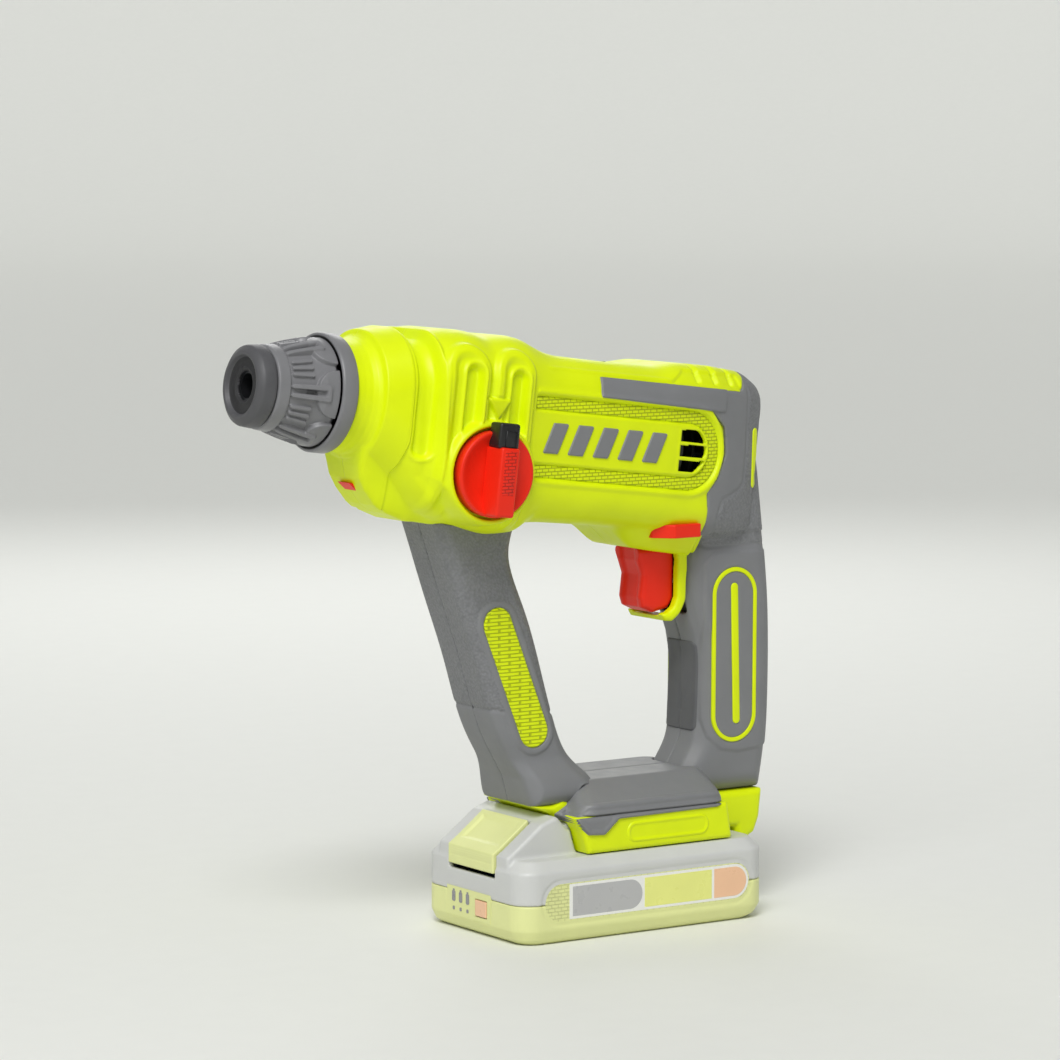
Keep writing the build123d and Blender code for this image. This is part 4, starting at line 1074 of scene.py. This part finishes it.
class HAMMER_OT_battery(bpy.types.Operator):
    """Build the battery's cases, latch, side labels, charge gauge and button"""
    bl_idname = "hammer.battery"
    bl_label = "Battery"

    def execute(self, context):
        for word, look in (("lower", "pack lime PC"), ("upper", "pack grey PC")):
            mesh = remoulded("pack_" + word + "_case", ["battery_" + word + "_case"], 0.65, None, 2)
            co, out = points_of(mesh), normals_of(mesh)
            x, y, z = co.T / MM
            rim = to_capsule(x, z, (-42.6, 17.0), (44.2, 17.0), 8.9)
            co += out * (-0.45 * ridge(rim, 0.7) * (np.abs(y) > 36.5) * MM)[:, None]
            set_points(mesh, co)
            finish_piece(mesh.name, mesh, "battery", ["battery_" + word + "_case"],
                         finish(look))
        self.latch()
        self.labels()
        self.gauge()
        return {"FINISHED"}

    @staticmethod
    def latch():
        """The latch has a shallow scoop for the thumb inside a raised rim."""
        mesh = remoulded("pack_latch", ["battery_latch"], 0.45, None, 2)
        co, out = points_of(mesh), normals_of(mesh)
        x, y, z = co.T / MM
        scoop = np.maximum(np.abs(y) - 13.4, np.abs(x + 52.6) - 5.4)
        sloped = ramp(0.35, 0.6, out[:, 2]) * ramp(-0.2, -0.4, out[:, 0])
        co += out * (-1.0 * ramp(0.6, -1.4, scoop) * sloped * MM)[:, None]
        lines = ridge(np.abs(np.abs(z - 33.2) - 1.0) - 0.5, 0.25) * (np.abs(y) < 15) * (out[:, 0] < -0.8)
        co += out * (-0.25 * lines * MM)[:, None]
        set_points(mesh, co)
        finish_piece("pack_latch", mesh, "latch", ["battery_latch"], finish("pack lime PC"))

    @staticmethod
    def plate(name, outline, side, low, high, nodes, look, body="battery", slot="label_film"):
        low, high = sorted((side * low, side * high))
        bm = extruded(outline, low, high, 0.04, 1)
        bm.transform(Matrix.Scale(MM, 4))
        return finish_piece(name, mesh_from(bm, name, True), body, nodes, finish(look), smooth=False)

    def labels(self):
        """Plain colour blocks stand in for the lettering on the sides."""
        for side, word in ((LEFT, "left"), (RIGHT, "right")):
            nodes = ["battery_labels"] if side == LEFT else []
            self.plate("pack_label_" + word, bar_outline((-42.6, LABEL_Z), (44.2, LABEL_Z), 7.7), side,
                       37.05, 37.3, nodes, "pack relief")
            frame_edge = [(-38.6, 9.8), (44.2, 9.8)] + bar_outline((0, LABEL_Z), (44.2, LABEL_Z), 7.2)[:17] \
                + [(44.2, 24.2), (-38.6, 24.2)]
            self.plate("label_frame_" + word, self.tidy(frame_edge), side, 37.2, 37.38, [], "label white")
            grey = [(-37.0, 10.9)] + bar_outline((-30, LABEL_Z), (-8.6, LABEL_Z), 6.1)[:17] + [(-37.0, 23.1)]
            self.plate("label_block_grey_" + word, self.tidy(grey), side, 37.3, 37.44, [], "label grey")
            lime = [(-1.4, 10.9), (32.6, 10.9), (32.6, 23.1), (-1.4, 23.1)]
            self.plate("label_block_lime_" + word, lime, side, 37.3, 37.44, [], "label lime")
            orange = [(33.8, 10.9)] + bar_outline((30, LABEL_Z), (44.2, LABEL_Z), 6.1)[:17] + [(33.8, 23.1)]
            self.plate("label_block_orange_" + word, self.tidy(orange), side, 37.3, 37.44, [],
                       "label orange")

    @staticmethod
    def tidy(outline):
        """The outline without repeated corners."""
        kept = [point for n, point in enumerate(outline) if math.dist(point, outline[n - 1]) > 0.01]
        return kept

    @staticmethod
    def gauge():
        """Three little cell marks with lamp dots, and the button beside them."""
        mesh = remoulded("pack_gauge_button", ["charge_button"], 0.25, None, 2)
        finish_piece("pack_gauge_button", mesh, "charge", ["charge_button"],
                     finish("label orange"))
        bm = bmesh.new()
        for y in (13.2, 8.0, 2.8):
            for centre, size in (((y, 14.1), (2.4, 4.4)), ((y, 16.7), (1.2, 0.7)), ((y, 9.1), (1.5, 1.5))):
                made = bmesh.ops.create_cube(bm, size=1.0, matrix=Matrix.Translation((-61.92, *centre))
                                             @ Matrix.Diagonal((0.2, *size, 1)))
                edges = list({e for v in made["verts"] for e in v.link_edges
                              if abs(e.verts[0].co.x - e.verts[1].co.x) > 0.1})
                bmesh.ops.bevel(bm, geom=edges, offset=min(size) * 0.3, segments=3, affect="EDGES",
                                profile=0.5, material=-1)
        bm.transform(Matrix.Scale(MM, 4))
        finish_piece("gauge_marks", mesh_from(bm, "gauge_marks", True), "battery", [],
                     finish("label dark"), smooth=False)


class HAMMER_OT_inner_parts(bpy.types.Operator):
    """Give the mechanism, motor, electronics and screws that stay from the frame their finishes"""
    bl_idname = "hammer.inner_parts"
    bl_label = "Inner parts"

    def execute(self, context):
        looks = {
            "steel": ["front_bearing", "shaft_bearings", "locking_balls", "sleeve_spring", "trigger_spring",
                      "striker", "impact_bolt", "wobble_ring", "motor_can", "motor_shaft"],
            "dark steel": ["hammer_spindle", "spindle_gear", "layshaft", "layshaft_gear", "wobble_drum",
                           "motor_core", "motor_magnets", "carbon_brushes", "housing_screws"],
            "aluminium": ["gearbox_plate", "motor_bulkhead", "piston"],
            "copper": ["motor_windings", "commutator"],
            "nickel": ["battery_contacts"],
            "board": ["control_board", "battery_board"],
            "cell wrap": ["battery_cells"],
            "black ABS": ["motor_fan", "motor_end_bell", "switch_module", "terminal_block"],
            "pack lime PC": ["charge_panel"],
        }
        for look, nodes in looks.items():
            fill_slot(nodes, look)
        return {"FINISHED"}


class HAMMER_OT_stage(bpy.types.Operator):
    """Lay the pale floor and set the studio lights and the camera"""
    bl_idname = "hammer.stage"
    bl_label = "Studio"

    def execute(self, context):
        scene = context.scene
        profile = [(0.0, 0.0), (7.0, 0.0)]
        profile += [(7.0 + 3.0 * math.sin(t), 3.0 - 3.0 * math.cos(t)) for t in np.linspace(0.1, 1.57, 12)]
        profile.append((10.0, 6.0))
        bm = bmesh.new()
        verts = [bm.verts.new((r, 0, z)) for r, z in profile]
        edges = [bm.edges.new(pair) for pair in zip(verts, verts[1:])]
        bmesh.ops.spin(bm, geom=verts + edges, cent=(0, 0, 0), axis=(0, 0, 1), angle=2 * math.pi, steps=64,
                       use_merge=True)
        bmesh.ops.remove_doubles(bm, verts=bm.verts[:], dist=0.0005)
        bmesh.ops.recalc_face_normals(bm, faces=bm.faces[:])
        bmesh.ops.reverse_faces(bm, faces=[f for f in bm.faces if f.normal.z < -0.001])
        mesh = mesh_from(bm, "studio_floor")
        floor = bpy.data.objects.new("studio_floor", mesh)
        scene.collection.objects.link(floor)
        mesh.materials.append(moulded_plastic("studio_paper", "#E9EAE6", 0.8, 2.0, 0.0, 0.005, spec=0.2))
        mesh.shade_smooth()
        self.sun((-0.75, -0.9, 1.5), settings().sun_strength)
        self.light("key", (-0.9, -0.75, 0.95), 0.7, settings().key_power)
        self.light("rim", (0.6, 1.2, 0.9), 0.8, settings().key_power * 0.9)
        world = bpy.data.worlds.new("studio_air")
        world.use_nodes = True
        world.node_tree.nodes["Background"].inputs[0].default_value = linear("#F4F5F3")
        world.node_tree.nodes["Background"].inputs[1].default_value = 0.34
        scene.world = world
        scene.view_settings.view_transform = "Standard"
        camera = bpy.data.objects.new("camera", bpy.data.cameras.new("camera"))
        scene.collection.objects.link(camera)
        camera.data.lens = 145.26
        camera.data.sensor_width = 36.0
        camera.data.clip_start = 0.05
        camera.data.clip_end = 150.0
        camera.location = (-0.9985, -1.4501, 0.3438)
        camera.rotation_euler = Vector((0.5513, 0.8280, -0.10215)).to_track_quat("-Z", "Y").to_euler()
        scene.camera = camera
        return {"FINISHED"}

    @staticmethod
    def sun(place, strength):
        data = bpy.data.lights.new("soft_sky", "SUN")
        data.angle = math.radians(22)
        data.energy = strength
        lamp = bpy.data.objects.new("soft_sky", data)
        lamp.rotation_euler = (-Vector(place)).to_track_quat("-Z", "Y").to_euler()
        bpy.context.scene.collection.objects.link(lamp)

    @staticmethod
    def light(name, place, size, power):
        data = bpy.data.lights.new(name, "AREA")
        data.size = size
        data.energy = power
        lamp = bpy.data.objects.new(name, data)
        lamp.location = place
        aim = Vector((-0.03, 0, 0.14)) - Vector(place)
        lamp.rotation_euler = aim.to_track_quat("-Z", "Y").to_euler()
        bpy.context.scene.collection.objects.link(lamp)


class HAMMER_PT_panel(bpy.types.Panel):
    """Lists the pieces of the rotary hammer in build order"""
    bl_label = "Rotary Hammer"
    bl_idname = "HAMMER_PT_panel"
    bl_space_type = "VIEW_3D"
    bl_region_type = "UI"
    bl_category = "Hammer"

    def draw(self, context):
        for name in HammerSettings.__annotations__:
            self.layout.prop(context.scene.hammer_settings, name)
        for operator in OPERATORS:
            self.layout.operator(operator.bl_idname)


OPERATORS = (HAMMER_OT_body, HAMMER_OT_guard, HAMMER_OT_side_panels, HAMMER_OT_top_strips,
             HAMMER_OT_grip_frame, HAMMER_OT_foot, HAMMER_OT_inlays, HAMMER_OT_chuck, HAMMER_OT_knob,
             HAMMER_OT_trigger, HAMMER_OT_battery, HAMMER_OT_inner_parts, HAMMER_OT_stage)
CLASSES = (HammerSettings,) + OPERATORS + (HAMMER_PT_panel,)


def register():
    for cls in CLASSES:
        bpy.utils.register_class(cls)
    bpy.types.Scene.hammer_settings = PointerProperty(type=HammerSettings)


def unregister():
    del bpy.types.Scene.hammer_settings
    for cls in reversed(CLASSES):
        bpy.utils.unregister_class(cls)


def main():
    register()
    for operator in OPERATORS:
        group, action = operator.bl_idname.split(".")
        getattr(getattr(bpy.ops, group), action)()


if __name__ == "__main__":
    main()
